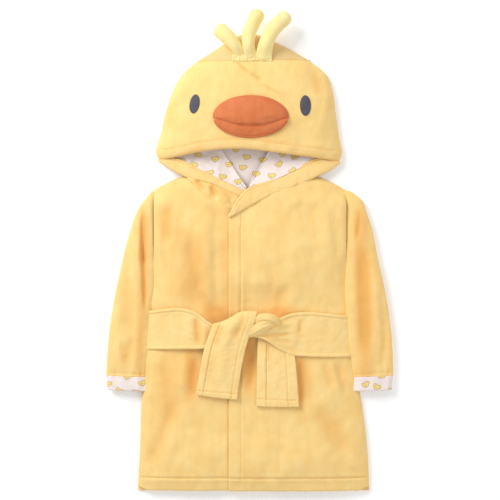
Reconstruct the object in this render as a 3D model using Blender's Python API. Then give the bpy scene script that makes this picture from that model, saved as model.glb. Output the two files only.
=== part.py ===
"""Hooded baby bathrobe with a duck face on the hood, laid flat on its back with the belt tied.

Frame: +X to the right seen from above, +Y towards the hood, +Z out of the front of the robe.
The origin is under the middle of the robe. Lengths here are millimetres, the scene is in metres.
"""

import math

import bmesh
import bpy
from mathutils import Vector
from numpy import interp

MM = 0.001

# cloth
CLOTH = 2.5  # velour
LINING = 1.2  # printed cotton
SEAM_EASE = 1.2 * CLOTH  # open width of a slanting seam
GAP = 0.3  # clearance between pieces that touch

# body
CHEST_HALF = 125.0  # middle to armhole seam
SHOULDER_Y = 96.0  # neck end of the shoulder seams
SHOULDER_DROP = 18.0
NECK_HALF = 86.0
ARMHOLE_TOP_Y = 77.0
ARMHOLE_BOTTOM_Y = -10.0
HEM_Y = -313.5
FLARE_LEFT = 21.0
FLARE_RIGHT = 30.0
OVERLAP_EDGE_X = -28.0  # free edge of the upper front
UNDER_EDGE_X = 34.0  # free edge of the lower front, hidden
LAPEL_Y = 42.0  # where the free edge meets the neckline
CHEST_HEIGHT = 24.0
WAIST_HEIGHT = 17.0
SKIRT_HEIGHT = 20.2
DOME_POWER = 2.6
FRONT_STEP = CLOTH + 3 * GAP  # lower front below the upper front
CORNER_FOLD = 103.0  # leg of the corner of the skirt that folds back

# belt
BELT_CLOTH = 2.5
BELT_TOP_Y = -80.0
BELT_BOTTOM_Y = -133.0
BELT_RAMP = 22.0
BELT_EASE = 0.9  # slack between the belt and the robe
WAIST_MARGIN = 10.0  # the waist stays level this far past the belt
TAIL_THICKNESS = 3.8
KNOT_X = 15.0
KNOT_Y = -98.0
KNOT_HALF = (26.0, 19.0)
KNOT_HEIGHT = 12.0

# sleeves
SLEEVE_SPREAD = 61.0  # armhole seam to outer cuff corner, across
SLEEVE_DROP = 240.0  # shoulder to cuff, down
SLEEVE_HEIGHT = 12.4
SLEEVE_SWELL = 2.0
CUFF_WIDTH = 46.0
CUFF_LENGTH = 19.0

# hood
HOOD_HINGE_Y = 117.5
HOOD_TOP_Y = 284.0
HOOD_HALF = 120.0
HOOD_HEIGHT = 30.0
CROWN_SEAM_Y = 246.0
MOUTH_Y = 129.5  # brim edge in the middle
BAND_WIDTH = 16.0
BAND_THICKNESS = 4.0
MOUTH_CORNER_X = 117.0

# face
BEAK = (1.0, 174.0, 49.4, 27.8)  # middle and half sizes
BEAK_HEIGHT = 13.0
BEAK_CLOTH = 1.5
LIP_SAG = 13.0  # the upper beak's lower edge, below the middle
LIP_BEND = 0.0036  # how fast that edge rises to the sides
EYES = {"left": (-72.0, 190.0, 6.5, 12.5, -10.0), "right": (72.0, 188.0, 7.2, 13.3, 0.0)}
EYE_THICKNESS = 1.0
TUFT_RADIUS = 9.5
TUFT_CLOTH = 1.5
TAB_HALF = 25.5
TAB_X = 2.5
TAB_RISE = 7.0  # top of the tab above the crown seam
TUFT_NECK = 0.66  # share of the radius left where a tuft is sewn in
TUFT_EASE = 2.4  # room for a tuft to bend over the tab

COLOURS = {
    "velour": ((0.98, 0.69, 0.27), 0.95),
    "hood_velour": ((0.97, 0.68, 0.28), 0.95),
    "band": ((0.95, 0.63, 0.24), 0.95),
    "belt": ((0.94, 0.62, 0.23), 0.95),
    "print": ((0.90, 0.84, 0.85), 0.85),
    "tuft": ((0.99, 0.80, 0.35), 0.9),
    "beak": ((0.76, 0.22, 0.08), 0.85),
    "eye": ((0.11, 0.10, 0.13), 0.6),
    "filling": ((0.9, 0.9, 0.88), 1.0),
}

# outlines as fractions: how far along, and how far out
HOOD_LEFT = [(0, 0.99), (0.2, 0.965), (0.43, 0.89), (0.585, 0.81), (0.68, 0.715), (0.78, 0.56)]
HOOD_LEFT += [(0.85, 0.41), (0.916, 0.27), (1, 0.03)]
HOOD_RIGHT = [(0, 0.985), (0.16, 0.98), (0.36, 0.935), (0.556, 0.89), (0.676, 0.83), (0.742, 0.72)]
HOOD_RIGHT += [(0.82, 0.52), (0.904, 0.33), (1, 0.03)]
HOOD_DOME = [(0, 0.87), (0.2, 1), (0.43, 0.97), (0.68, 0.8), (0.78, 0.69), (0.9, 0.45), (1, 0.2)]
SLEEVE_OUTER = [(0, 0), (0.09, 0.28), (0.22, 0.475), (0.41, 0.67), (0.62, 0.836), (0.82, 0.95), (1, 1)]


def lerp(a, b, t):
    return a + (b - a) * t


def smooth(t):
    t = min(max(t, 0.0), 1.0)
    return t * t * (3 - 2 * t)


def read_off(points, t):
    return float(interp(t, [p[0] for p in points], [p[1] for p in points]))


def dome(u):
    return math.sqrt(max(0.0, 1 - abs(u) ** DOME_POWER))


def spread_ends(t):
    """Crowds the steps towards both ends, where a side turns down."""
    return 0.5 - 0.5 * math.cos(math.pi * t)


def spread_end(t):
    return math.sin(0.5 * math.pi * t)


# ---------------------------------------------------------------- objects


def clear_scene():
    for obj in list(bpy.data.objects):
        bpy.data.objects.remove(obj, do_unlink=True)


def make_material(name):
    colour, roughness = COLOURS[name]
    material = bpy.data.materials.new(name)
    material.use_nodes = True
    shader = material.node_tree.nodes["Principled BSDF"]
    shader.inputs["Base Color"].default_value = (*colour, 1)
    shader.inputs["Roughness"].default_value = roughness
    shader.inputs["Metallic"].default_value = 0.0
    material.diffuse_color = (*colour, 1)
    return material


def add_object(name, bm, material, pivot=(0, 0, 0)):
    """Closes the mesh into an object whose origin is its pivot."""
    bmesh.ops.recalc_face_normals(bm, faces=bm.faces)
    middle = Vector(pivot) * MM
    bmesh.ops.translate(bm, vec=-middle, verts=bm.verts)
    mesh = bpy.data.meshes.new(name)
    bm.to_mesh(mesh)
    bm.free()
    mesh.shade_smooth()
    mesh.set_sharp_from_angle(angle=math.radians(40))
    mesh.materials.append(materials[material])
    obj = bpy.data.objects.new(name, mesh)
    obj.location = middle
    collection.objects.link(obj)
    return obj


def mapped_grid(surface, across, along):
    """A grid bent to surface(u, v). Edges that meet are joined, so a tube or a cap closes."""
    bm = bmesh.new()
    bmesh.ops.create_grid(bm, x_segments=across, y_segments=along, size=0.5)
    place = bm.verts.layers.float_vector.new("place")
    for vert in bm.verts:
        u, v = vert.co.x + 0.5, vert.co.y + 0.5
        vert[place] = (u, v, 0)
        vert.co = Vector(surface(u, v)) * MM
    bmesh.ops.remove_doubles(bm, verts=bm.verts, dist=1e-6)
    return bm, place


def shell(name, outer, inner, steps, material, pivot=(0, 0, 0)):
    """The solid between two bent grids, walled in along their free edges."""
    bm, place = mapped_grid(outer, *steps)
    made = bmesh.ops.extrude_face_region(bm, geom=bm.faces[:])["geom"]
    for vert in (part for part in made if isinstance(part, bmesh.types.BMVert)):
        u, v, _ = vert[place]
        vert.co = Vector(inner(u, v)) * MM
    bmesh.ops.remove_doubles(bm, verts=bm.verts, dist=1e-6)
    return add_object(name, bm, material, pivot)


def cloth(name, surface, thickness, steps, material, pivot=(0, 0, 0)):
    """A sheet whose upper side is the surface."""

    def under(u, v):
        x, y, z = surface(u, v)
        return x, y, z - thickness

    return shell(name, surface, under, steps, material, pivot)


def lump(name, surface, steps, material, pivot=(0, 0, 0)):
    """A closed form whose grid runs round it in u and from pole to pole in v."""
    bm, _ = mapped_grid(surface, *steps)
    return add_object(name, bm, material, pivot)


# ---------------------------------------------------------------- body


def side_x(y, side):
    """The side seam of the body: side is -1 on the left, 1 on the right."""
    flare, power = (FLARE_LEFT, 0.75) if side < 0 else (FLARE_RIGHT, 0.9)
    down = max(0.0, (ARMHOLE_BOTTOM_Y - y) / (ARMHOLE_BOTTOM_Y - HEM_Y))
    return side * (CHEST_HALF + flare * down**power)


def shoulder_y(x):
    out = max(0.0, (abs(x) - NECK_HALF) / (CHEST_HALF - NECK_HALF))
    return SHOULDER_Y - SHOULDER_DROP * out**1.3


def belt_lift(y):
    """How far the back rises to pass over the strip of belt behind it."""
    up = smooth((BELT_TOP_Y + WAIST_MARGIN + BELT_RAMP - y) / BELT_RAMP)
    down = smooth((y - BELT_BOTTOM_Y + WAIST_MARGIN + BELT_RAMP) / BELT_RAMP)
    return (BELT_CLOTH + GAP) * up * down


def armhole_lift(y):
    middle = (ARMHOLE_TOP_Y + ARMHOLE_BOTTOM_Y) / 2
    reach = (ARMHOLE_TOP_Y - ARMHOLE_BOTTOM_Y) / 2
    share = (y - middle) / reach
    return (SLEEVE_HEIGHT - CLOTH - GAP) * math.sqrt(max(0.0, 1 - share * share))


def front_crest(y):
    """Height of the upper front along the middle."""
    waist_top, waist_bottom = BELT_TOP_Y + WAIST_MARGIN, BELT_BOTTOM_Y - WAIST_MARGIN
    points = [
        (HEM_Y, SKIRT_HEIGHT - 3),
        (HEM_Y + 24, SKIRT_HEIGHT),
        (waist_bottom - 24, SKIRT_HEIGHT),
        (waist_bottom, WAIST_HEIGHT),
        (waist_top, WAIST_HEIGHT),
        (waist_top + 28, CHEST_HEIGHT - 1),
        (0, CHEST_HEIGHT),
        (60, CHEST_HEIGHT - 3),
        (SHOULDER_Y, CHEST_HEIGHT - 5),
    ]
    return read_off(points, y)


def front_z(x, y, inset=0.0, step=0.0):
    """Height of the front. inset shrinks it by a wall, step lowers it under another layer."""
    left, right = side_x(y, -1) + inset, side_x(y, 1) - inset
    share = (2 * x - left - right) / (right - left)
    base = CLOTH + GAP + belt_lift(y) + armhole_lift(y)
    into = min(max((shoulder_y(x) - y) / 26, 0.0), 1.0)
    at_seam = 1 - math.sqrt(max(0.0, 1 - (1 - into) ** 2.2))
    closed = smooth((abs(x) - NECK_HALF + 26) / 30) * at_seam
    return base + (front_crest(y) - inset - step - base) * dome(share) * (1 - closed)


def fold_line_y(x):
    """The line that the lower corner of the upper front folds along."""
    return HEM_Y + CORNER_FOLD - (x - OVERLAP_EDGE_X)


def neckline_over(x):
    """Half a band's width below the middle of the right band, and LAPEL_Y at the free edge."""
    half = BAND_WIDTH / 2
    points = [(OVERLAP_EDGE_X, LAPEL_Y), (-14, 58 - half), (24, 75 - half), (65, 89 - half)]
    points.append((NECK_HALF + 4, SHOULDER_Y - 3))
    return min(read_off(points, x), shoulder_y(x))


def neckline_under(x):
    points = [(-NECK_HALF, SHOULDER_Y), (-76, 78), (-58, 64), (-27, 51), (UNDER_EDGE_X, LAPEL_Y - 8)]
    return min(read_off(points, x), shoulder_y(x))


def make_back():
    def surface(u, v):
        x_top = lerp(-CHEST_HALF, CHEST_HALF, u)
        y = lerp(HEM_Y, shoulder_y(x_top), v)
        return lerp(side_x(y, -1), side_x(y, 1), u), y, CLOTH + belt_lift(y)

    cloth("back_panel", surface, CLOTH, (12, 26), "velour")


def make_fronts():
    def over(inset):
        def surface(u, v):
            out = spread_end(u)
            hem = HEM_Y
            for _ in range(4):
                x_hem = lerp(OVERLAP_EDGE_X, side_x(hem, 1) - inset, out)
                hem = max(HEM_Y, fold_line_y(x_hem))
            x_top = lerp(OVERLAP_EDGE_X, CHEST_HALF, out)
            y = lerp(hem, neckline_over(x_top), v)
            x = lerp(OVERLAP_EDGE_X, side_x(y, 1) - inset, out)
            return x, y, front_z(x, y, inset)

        return surface

    def under(inset):
        def surface(u, v):
            out = spread_end(1 - u)
            x_top = lerp(UNDER_EDGE_X, -CHEST_HALF, out)
            y = lerp(HEM_Y, neckline_under(x_top), v)
            x = lerp(UNDER_EDGE_X, side_x(y, -1) + inset, out)
            return x, y, front_z(x, y, inset, FRONT_STEP)

        return surface

    shell("front_panel_over", over(0), over(CLOTH), (12, 26), "velour")
    shell("front_panel_under", under(0), under(CLOTH), (12, 26), "velour")

    def corner(u, v):
        x = lerp(OVERLAP_EDGE_X, OVERLAP_EDGE_X + CORNER_FOLD - 4, u)
        y = lerp(HEM_Y, fold_line_y(x) - 3 * GAP, v)
        return x, y, front_z(x, y)

    pivot = (OVERLAP_EDGE_X, fold_line_y(OVERLAP_EDGE_X), SKIRT_HEIGHT)
    cloth("front_corner", corner, CLOTH, (8, 6), "velour", pivot)


# ---------------------------------------------------------------- sleeves


def sleeve_section(t, side):
    """Inner and outer corner of a section: t runs from the armhole to the cuff seam."""
    drop = t**0.8
    outer_x = CHEST_HALF + 2 * GAP + SLEEVE_SPREAD * read_off(SLEEVE_OUTER, drop)
    outer = Vector((side * outer_x, ARMHOLE_TOP_Y - SLEEVE_DROP * drop, 0))
    inner_y = lerp(ARMHOLE_BOTTOM_Y, ARMHOLE_TOP_Y - SLEEVE_DROP - 2, t)
    clear = lerp(2 * GAP, BELT_CLOTH + BELT_EASE + 2 * GAP, smooth(t * 3))
    inner_x = max(abs(side_x(inner_y, side)) + clear, outer_x - lerp(2000, CUFF_WIDTH, t))
    return Vector((side * inner_x, inner_y, 0)), outer


def sleeve_ring(t, turn, side, wall):
    """A point of the flattened tube round one section. Past 1, t runs on down the cuff."""
    inner, outer = sleeve_section(min(t, 1.0), side)
    past = max(0.0, t - 1)
    slide = Vector((-side * 2.0, -CUFF_LENGTH, 0)) * past
    middle, reach = (inner + outer) / 2 + slide, (outer - inner) / 2
    reach = reach * (1 - wall / reach.length)
    height = (SLEEVE_HEIGHT + SLEEVE_SWELL * math.sin(math.pi * min(t, 1.0))) / 2
    across, up = math.cos(turn), math.sin(turn)
    point = middle + reach * math.copysign(abs(across) ** 0.8, across)
    point.z = height + (height - wall) * math.copysign(abs(up) ** 0.8, up)
    return point


def make_sleeves():
    for side, word in ((-1, "left"), (1, "right")):
        pivot = (side * (CHEST_HALF + GAP), ARMHOLE_TOP_Y, 0)

        def tube(start, end, wall):
            return lambda u, v: sleeve_ring(lerp(start, end, v), 2 * math.pi * u, side, wall)

        seam = GAP / CUFF_LENGTH
        shell(f"sleeve_{word}", tube(0, 1, 0), tube(0, 1, CLOTH), (16, 11), "velour", pivot)
        cuff = tube(1 + seam, 2, 0), tube(1 + seam, 2, CLOTH)
        shell(f"cuff_{word}", *cuff, (16, 1), "print", pivot)


# ---------------------------------------------------------------- belt


def belt_edges(x):
    """Lower and upper edge of the belt across the front. It narrows towards the knot."""
    dip = math.exp(-(((x - KNOT_X) / 40) ** 2))
    lower = BELT_BOTTOM_Y + 4 - 9 * smooth((x + 60) / 120)
    return lower + 6 * dip, BELT_TOP_Y - 2 * smooth(x / 100) - 14 * dip


def make_belt_band():
    behind, before = 10, 26

    def loop(skin):
        """skin is 0 on the inside of the loop and 1 on its outside."""
        grow = BELT_EASE + BELT_CLOTH * skin

        def surface(u, v):
            step = round(u * (behind + before + 2)) % (behind + before + 2)
            floor = BELT_CLOTH * (1 - skin)
            if step <= behind:
                share = lerp(-1, 1, step / behind)
                y = lerp(BELT_BOTTOM_Y, BELT_TOP_Y, v)
            else:
                share = math.cos(math.pi * (step - behind - 1) / before)
                y = lerp(*belt_edges(share * CHEST_HALF), v)
            left, right = side_x(y, -1) - grow, side_x(y, 1) + grow
            x = lerp(left, right, (share + 1) / 2)
            if step <= behind:
                return x, y, floor
            base = floor + CLOTH
            return x, y, base + (front_crest(y) + grow - base) * dome(share)

        return surface

    shell("belt_band", loop(1), loop(0), (behind + before + 2, 3), "belt")


def tail_z():
    return max(SKIRT_HEIGHT, WAIST_HEIGHT + BELT_CLOTH + BELT_EASE) + GAP + TAIL_THICKNESS


def make_tails():
    """Each tail is a flat strip from its upper edge to its lower edge."""
    tails = {
        "left": ((-50, -100), (6, -84), (-70, -187), (-15, -194)),
        "right": ((11, -118), (59, -137), (10, -202), (63, -203)),
    }
    for word, corners in tails.items():
        upper_left, upper_right, lower_left, lower_right = map(Vector, corners)

        def surface(u, v):
            low, high = lower_left.lerp(lower_right, u), upper_left.lerp(upper_right, u)
            x, y = low.lerp(high, v)
            return x, y, tail_z()

        pivot = (KNOT_X, KNOT_Y, tail_z())
        cloth(f"belt_tail_{word}", surface, TAIL_THICKNESS, (6, 8), "belt", pivot)


def make_knot():
    def surface(u, v):
        turn, rise = 2 * math.pi * u, math.pi * (v - 0.5)
        flat = math.cos(rise)
        x = KNOT_HALF[0] * flat * math.copysign(abs(math.cos(turn)) ** 0.75, math.cos(turn))
        y = KNOT_HALF[1] * flat * math.copysign(abs(math.sin(turn)) ** 0.75, math.sin(turn))
        up = math.copysign(abs(math.sin(rise)) ** 0.6, rise) if rise else 0.0
        tilt = math.radians(-24)
        x, y = x * math.cos(tilt) - y * math.sin(tilt), x * math.sin(tilt) + y * math.cos(tilt)
        bottom = tail_z() + GAP
        return KNOT_X + x, KNOT_Y + y, bottom + KNOT_HEIGHT * (0.5 + 0.5 * up)

    lump("belt_knot", surface, (16, 8), "belt")


# ---------------------------------------------------------------- neck


def band_path(side):
    """Points down the middle of a collar band: x, y, upper side, width."""
    if side < 0:
        return [
            (-MOUTH_CORNER_X, 113.5, 8, 5),
            (-88, 102.5, 11, 13),
            (-60, 94, 15, BAND_WIDTH),
            (-30, 84.5, 17.4, BAND_WIDTH),
            (-8, 76, 17.6, BAND_WIDTH - 1),
        ]
    return [
        (MOUTH_CORNER_X - 2, 112.5, 8, 5),
        (88, 103.5, 11.5, 13),
        (55, 91, 17, BAND_WIDTH),
        (20, 77, 21.4, BAND_WIDTH),
        (-6, 66, 22.4, BAND_WIDTH - 1),
        (-22, 53.5, 22.6, BAND_WIDTH - 4),
    ]


def band_point(side, t, v, drop=0.0, narrow=0.0):
    """A point on a collar band: v runs from the seam at 0 to the opening at 1."""
    path = band_path(side)
    steps = [i / (len(path) - 1) for i in range(len(path))]
    x, y, z, width = (float(interp(t, steps, [p[i] for p in path])) for i in range(4))
    ahead = [float(interp(min(t + 0.02, 1), steps, [p[i] for p in path])) for i in (0, 1)]
    behind = [float(interp(max(t - 0.02, 0), steps, [p[i] for p in path])) for i in (0, 1)]
    along = Vector((ahead[0] - behind[0], ahead[1] - behind[1])).normalized()
    out = Vector((-along.y, along.x)) * (1 if side < 0 else -1)
    x, y = Vector((x, y)) + out * (v - 0.5) * (width - narrow)
    return x, y, z - drop


def make_neck():
    for side, word in ((-1, "left"), (1, "right")):

        def band(u, v):
            return band_point(side, u if side < 0 else 1 - u, v)

        cloth(f"collar_band_{word}", band, BAND_THICKNESS, (12, 2), "band")

    def side_left(u, v):
        """From the neck seam up to the left band."""
        high = Vector(band_point(-1, lerp(0.28, 0.93, u), 0))
        x = lerp(-78, -20, u)
        low = Vector((x, neckline_under(x) + SEAM_EASE, 0))
        low.z = front_z(x, low.y, 0, FRONT_STEP)
        high.y -= 2 * GAP
        high.z = max(high.z - 1, low.z)
        return low.lerp(high, v)

    cloth("hood_side_left", side_left, CLOTH, (10, 3), "hood_velour")

    def side_right(u, v):
        """Turned under the right band."""
        return band_point(1, lerp(0.62, 0.2, u), v, BAND_THICKNESS + GAP, 2)

    cloth("hood_side_right", side_right, CLOTH, (8, 2), "hood_velour")

    def neck_back(u, v):
        y = lerp(SHOULDER_Y + 2 * GAP, HOOD_HINGE_Y - GAP, v)
        half = lerp(NECK_HALF - 2, MOUTH_CORNER_X, v)
        return lerp(-half, half, u), y, CLOTH

    cloth("neck_back_panel", neck_back, CLOTH, (10, 2), "hood_velour")


def make_collar_lining():
    """The printed lining seen in the opening below the hinge line of the hood."""
    low_z = CLOTH + GAP + LINING
    seam_top = {-1: (-30.0, HOOD_HINGE_Y - GAP), 1: (17.0, HOOD_HINGE_Y - GAP)}
    seam_foot = {-1: (-9.0, 86.0), 1: (-1.0, 86.0)}
    last = {-1: 0.94, 1: 0.74}
    for side, word in ((-1, "left"), (1, "right")):

        def surface(u, v):
            u = u if side < 0 else 1 - u
            edge = Vector(band_point(side, lerp(0.06, last[side], u), 1))
            edge.y += 3 * GAP
            edge.z -= 1.5
            top, foot = Vector(seam_top[side]), Vector(seam_foot[side])
            bend = 0.72
            if u < bend:
                start = Vector((edge.x, HOOD_HINGE_Y - GAP))
                far = start.lerp(top, smooth(u / bend)) if u else start
                rise = 0.0
            else:
                share = (u - bend) / (1 - bend)
                far = top.lerp(foot, share)
                rise = 8 * share
            far_z = low_z + rise + 0.6
            return lerp(edge.x, far.x, v), lerp(edge.y, far.y, v), lerp(edge.z, far_z, v**0.8)

        cloth(f"collar_lining_{word}", surface, LINING, (10, 4), "print")

    def centre(u, v):
        y = lerp(78, HOOD_HINGE_Y - GAP, v)
        left = lerp(-14, seam_top[-1][0] + 1.5, v)
        right = lerp(4, seam_top[1][0] - 1.5, v)
        return lerp(left, right, u), y, low_z

    cloth("collar_lining_centre", centre, LINING, (4, 4), "print")


# ---------------------------------------------------------------- hood


def hood_x(y, side):
    share = (y - HOOD_HINGE_Y) / (HOOD_TOP_Y - HOOD_HINGE_Y)
    outline = HOOD_LEFT if side < 0 else HOOD_RIGHT
    return side * HOOD_HALF * read_off(outline, share)


def hood_z(x, y, inset=0.0):
    left, right = hood_x(y, -1) + inset, hood_x(y, 1) - inset
    share = (2 * x - left - right) / (right - left)
    along = (y - HOOD_HINGE_Y) / (HOOD_TOP_Y - HOOD_HINGE_Y)
    base = CLOTH + GAP
    return base + max(0.5, HOOD_HEIGHT * read_off(HOOD_DOME, along) - inset - base) * dome(share)


def brim_y(u):
    """The free edge of the hood, u from the left corner to the right one."""
    return lerp(HOOD_HINGE_Y + GAP, MOUTH_Y, 1 - abs(2 * u - 1) ** 1.8)


def hood_strip(start, end, inset, narrow=0.0):
    """The front of the hood between two lines, each a function of u."""

    def surface(u, v):
        out = spread_ends(u)
        y = lerp(start(out), end(out), v)
        left, right = hood_x(y, -1) + inset + narrow, hood_x(y, 1) - inset - narrow
        x = lerp(left, right, out)
        return x, y, hood_z(x, y, inset)

    return surface


def make_hood():
    def band_top(u):
        return brim_y(u) + BAND_WIDTH

    def face_start(u):
        return band_top(u) + GAP

    def face_end(u):
        return CROWN_SEAM_Y

    def crown_start(u):
        return CROWN_SEAM_Y + GAP

    def crown_end(u):
        return HOOD_TOP_Y - 2

    for name, start, end, steps in (
        ("hood_brim_band", brim_y, band_top, (20, 2)),
        ("hood_face_panel", face_start, face_end, (20, 8)),
        ("hood_crown_panel", crown_start, crown_end, (14, 5)),
    ):
        material = "band" if name == "hood_brim_band" else "hood_velour"
        skins = hood_strip(start, end, 0), hood_strip(start, end, CLOTH)
        shell(name, *skins, steps, material)

    def lining_start(u):
        return brim_y(u) + 2

    def lining_end(u):
        return CROWN_SEAM_Y - 14

    inset = CLOTH + 3.5 * GAP
    skins = [hood_strip(lining_start, lining_end, inset + wall, 3) for wall in (0, LINING)]
    shell("hood_lining_front", *skins, (16, 8), "print")

    def back(rise, shrink, last):
        def surface(u, v):
            y = lerp(HOOD_HINGE_Y + GAP, last, v)
            return lerp(hood_x(y, -1) + shrink, hood_x(y, 1) - shrink, u), y, rise

        return surface

    cloth("hood_back_panel", back(CLOTH, 0, HOOD_TOP_Y - 2), CLOTH, (8, 14), "hood_velour")
    lining_z = CLOTH + GAP + LINING
    lining = back(lining_z, CLOTH + LINING + 5 * GAP, CROWN_SEAM_Y - 4)
    cloth("hood_lining_back", lining, LINING, (6, 9), "print")


# ---------------------------------------------------------------- face


def lip_y(x):
    """The upper beak's lower edge, from the beak's middle: a shallow smile."""
    return -LIP_SAG + LIP_BEND * x * x


def beak_edge(angle):
    """Distance from the beak's middle to the edge of its upper part."""
    _, _, half_x, half_y = BEAK
    across, up = math.cos(angle), math.sin(angle)
    rim = 1 / math.hypot(across / half_x, up / half_y)
    if up >= 0:
        return rim
    bend = max(LIP_BEND * across * across, 1e-6)
    lip = (up + math.sqrt(up * up + 4 * bend * LIP_SAG)) / (2 * bend)
    return min(rim, lip)


def make_beak():
    mid_x, mid_y, half_x, half_y = BEAK

    def upper(wall, slack=0.0):
        """The cushion's outer side, or with a wall its inside, drawn in by the slack."""

        def surface(u, v):
            angle = 2 * math.pi * u
            edge = beak_edge(angle) - wall
            reach = (edge - 4 * slack) * v
            x, y = mid_x + reach * math.cos(angle), mid_y + reach * math.sin(angle)
            rise = (BEAK_HEIGHT - wall) * max(0.0, 1 - (reach / edge) ** 2.4) ** 0.6 - slack
            return x, y, hood_z(x, y) + GAP + rise

        return surface

    shell("beak_upper", upper(0), upper(BEAK_CLOTH), (24, 6), "beak")
    slack = 4 * GAP

    def base(u, v):
        x, y, _ = upper(BEAK_CLOTH, slack)(u, v)
        return x, y, hood_z(x, y) + 2 * GAP

    shell("beak_filling", upper(BEAK_CLOTH, slack), base, (24, 4), "filling")

    def lower(u, v):
        """The crescent below the lip."""
        across = lerp(-0.86, 0.86, u)
        x = across * half_x
        bottom = -half_y * math.sqrt(1 - across * across)
        y = lerp(bottom, min(lip_y(x) - 2 * GAP, -0.5), v)
        puff = 3.0 * math.sin(math.pi * min(v, 0.8) / 0.8) if v < 0.8 else 0.0
        return mid_x + x, mid_y + y, hood_z(mid_x + x, mid_y + y) + GAP + 2.5 + puff

    def lower_base(u, v):
        x, y, _ = lower(u, v)
        return x, y, hood_z(x, y) + GAP

    shell("beak_lower", lower, lower_base, (14, 4), "beak")


def make_eyes():
    for word, (mid_x, mid_y, half_x, half_y, tilt) in EYES.items():
        turn = math.radians(tilt)

        def surface(u, v):
            across = half_x * v * math.cos(2 * math.pi * u)
            up = half_y * v * math.sin(2 * math.pi * u)
            x = mid_x + across * math.cos(turn) - up * math.sin(turn)
            y = mid_y + across * math.sin(turn) + up * math.cos(turn)
            return x, y, hood_z(x, y) + GAP + EYE_THICKNESS

        cloth(f"eye_{word}", surface, EYE_THICKNESS, (16, 2), "eye")


def make_tab():
    def surface(u, v):
        x = lerp(TAB_X - TAB_HALF, TAB_X + TAB_HALF, u)
        y = lerp(CROWN_SEAM_Y - 2, CROWN_SEAM_Y + TAB_RISE, v)
        return x, y, hood_z(x, y) + GAP + CLOTH

    cloth("tuft_tab", surface, CLOTH - 0.2, (8, 3), "tuft")


def tuft_point(path, t, turn, wall):
    """A point of a stuffed tube along a bent path of three points."""
    start, bend, end = (Vector(p) for p in path)
    t_end = 1 - wall / (end - start).length
    t_start = wall / (end - start).length if wall > TUFT_CLOTH else 0
    at = lerp(t_start, t_end, t)
    middle = start.lerp(bend, at).lerp(bend.lerp(end, at), at)
    along = (bend.lerp(end, at) - start.lerp(bend, at)).normalized()
    side = Vector((along.y, -along.x, 0)).normalized()
    tip = max(0.0, (t - 0.78) / 0.22)
    radius = (TUFT_RADIUS - wall) * lerp(TUFT_NECK, 1, smooth(t / 0.45)) * math.sqrt(max(0.0, 1 - tip * tip))
    if wall > TUFT_CLOTH:
        radius *= math.sqrt(min(1.0, t / 0.08))
    return middle + (side * math.cos(turn) + Vector((0, 0, 1)) * math.sin(turn)) * radius


def tuft_paths():
    """Base, bend and tip of each tuft, from the top of the tab."""
    y = CROWN_SEAM_Y + TAB_RISE + TUFT_EASE

    def base(x, y):
        return x, y, hood_z(x, y) + TUFT_NECK * TUFT_RADIUS + GAP

    left, middle, right = base(-16.5, y + 1.5), base(0, y), base(16.5, y)
    bend_z = middle[2] + GAP
    tip_z = bend_z - 3
    return {
        "left": (left, (-23, 269, bend_z), (-44, 285.5, tip_z)),
        "middle": (middle, (-2.5, 281, bend_z), (11, -HEM_Y, tip_z)),
        "right": (right, (20, 285, bend_z), (52, 304, tip_z)),
    }


def spread_tip(v):
    return 1 - (1 - v) ** 1.7


def make_tufts():
    for word, path in tuft_paths().items():

        def skin(wall):
            return lambda u, v: tuft_point(path, spread_tip(v), 2 * math.pi * u, wall)

        shell(f"tuft_{word}", skin(0), skin(TUFT_CLOTH), (10, 9), "tuft", path[0])
        lump(f"tuft_filling_{word}", skin(TUFT_CLOTH + 2 * GAP), (8, 8), "filling", path[0])


clear_scene()
collection = bpy.data.collections.new("hooded_baby_robe")
bpy.context.scene.collection.children.link(collection)
materials = {name: make_material(name) for name in COLOURS}

make_back()
make_fronts()
make_sleeves()
make_belt_band()
make_tails()
make_knot()
make_neck()
make_collar_lining()
make_hood()
make_beak()
make_eyes()
make_tab()
make_tufts()
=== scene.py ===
import math

import bmesh
import bpy
import numpy as np
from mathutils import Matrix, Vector, noise


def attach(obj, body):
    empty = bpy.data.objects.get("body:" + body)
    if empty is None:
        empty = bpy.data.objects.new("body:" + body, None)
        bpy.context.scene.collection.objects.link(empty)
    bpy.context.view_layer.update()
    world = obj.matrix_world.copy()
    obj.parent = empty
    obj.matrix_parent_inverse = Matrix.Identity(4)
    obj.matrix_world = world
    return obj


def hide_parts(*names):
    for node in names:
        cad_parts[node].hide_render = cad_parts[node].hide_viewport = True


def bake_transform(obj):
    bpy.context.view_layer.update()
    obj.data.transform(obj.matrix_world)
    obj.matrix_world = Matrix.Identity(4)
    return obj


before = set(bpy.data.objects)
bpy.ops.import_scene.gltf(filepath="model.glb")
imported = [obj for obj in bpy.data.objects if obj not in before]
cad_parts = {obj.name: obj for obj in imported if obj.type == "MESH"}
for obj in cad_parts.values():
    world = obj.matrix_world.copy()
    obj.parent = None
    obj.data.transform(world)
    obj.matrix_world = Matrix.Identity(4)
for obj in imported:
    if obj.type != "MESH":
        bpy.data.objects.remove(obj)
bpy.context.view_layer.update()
print("frame loaded")

mm = 0.001
hemY, armholeTop, armholeFoot = -313.5, 77.0, -10.0  # the robe's own lines, in millimetres
chestHalf, neckHalf, shoulderTop = 125.0, 86.0, 96.0
overlapX = -28.0  # free edge of the upper front
crownSeam = 246.0
sheetFloor = 2.8  # the lowest an upper sheet comes
velourThick, liningThick = 2.5, 1.2


# shaping helpers: they work on whole arrays of millimetres at once

def mix(a, b, t):
    return a + (b - a) * t


def smooth(t):
    t = np.clip(t, 0, 1)
    return t * t * (3 - 2 * t)


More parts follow.
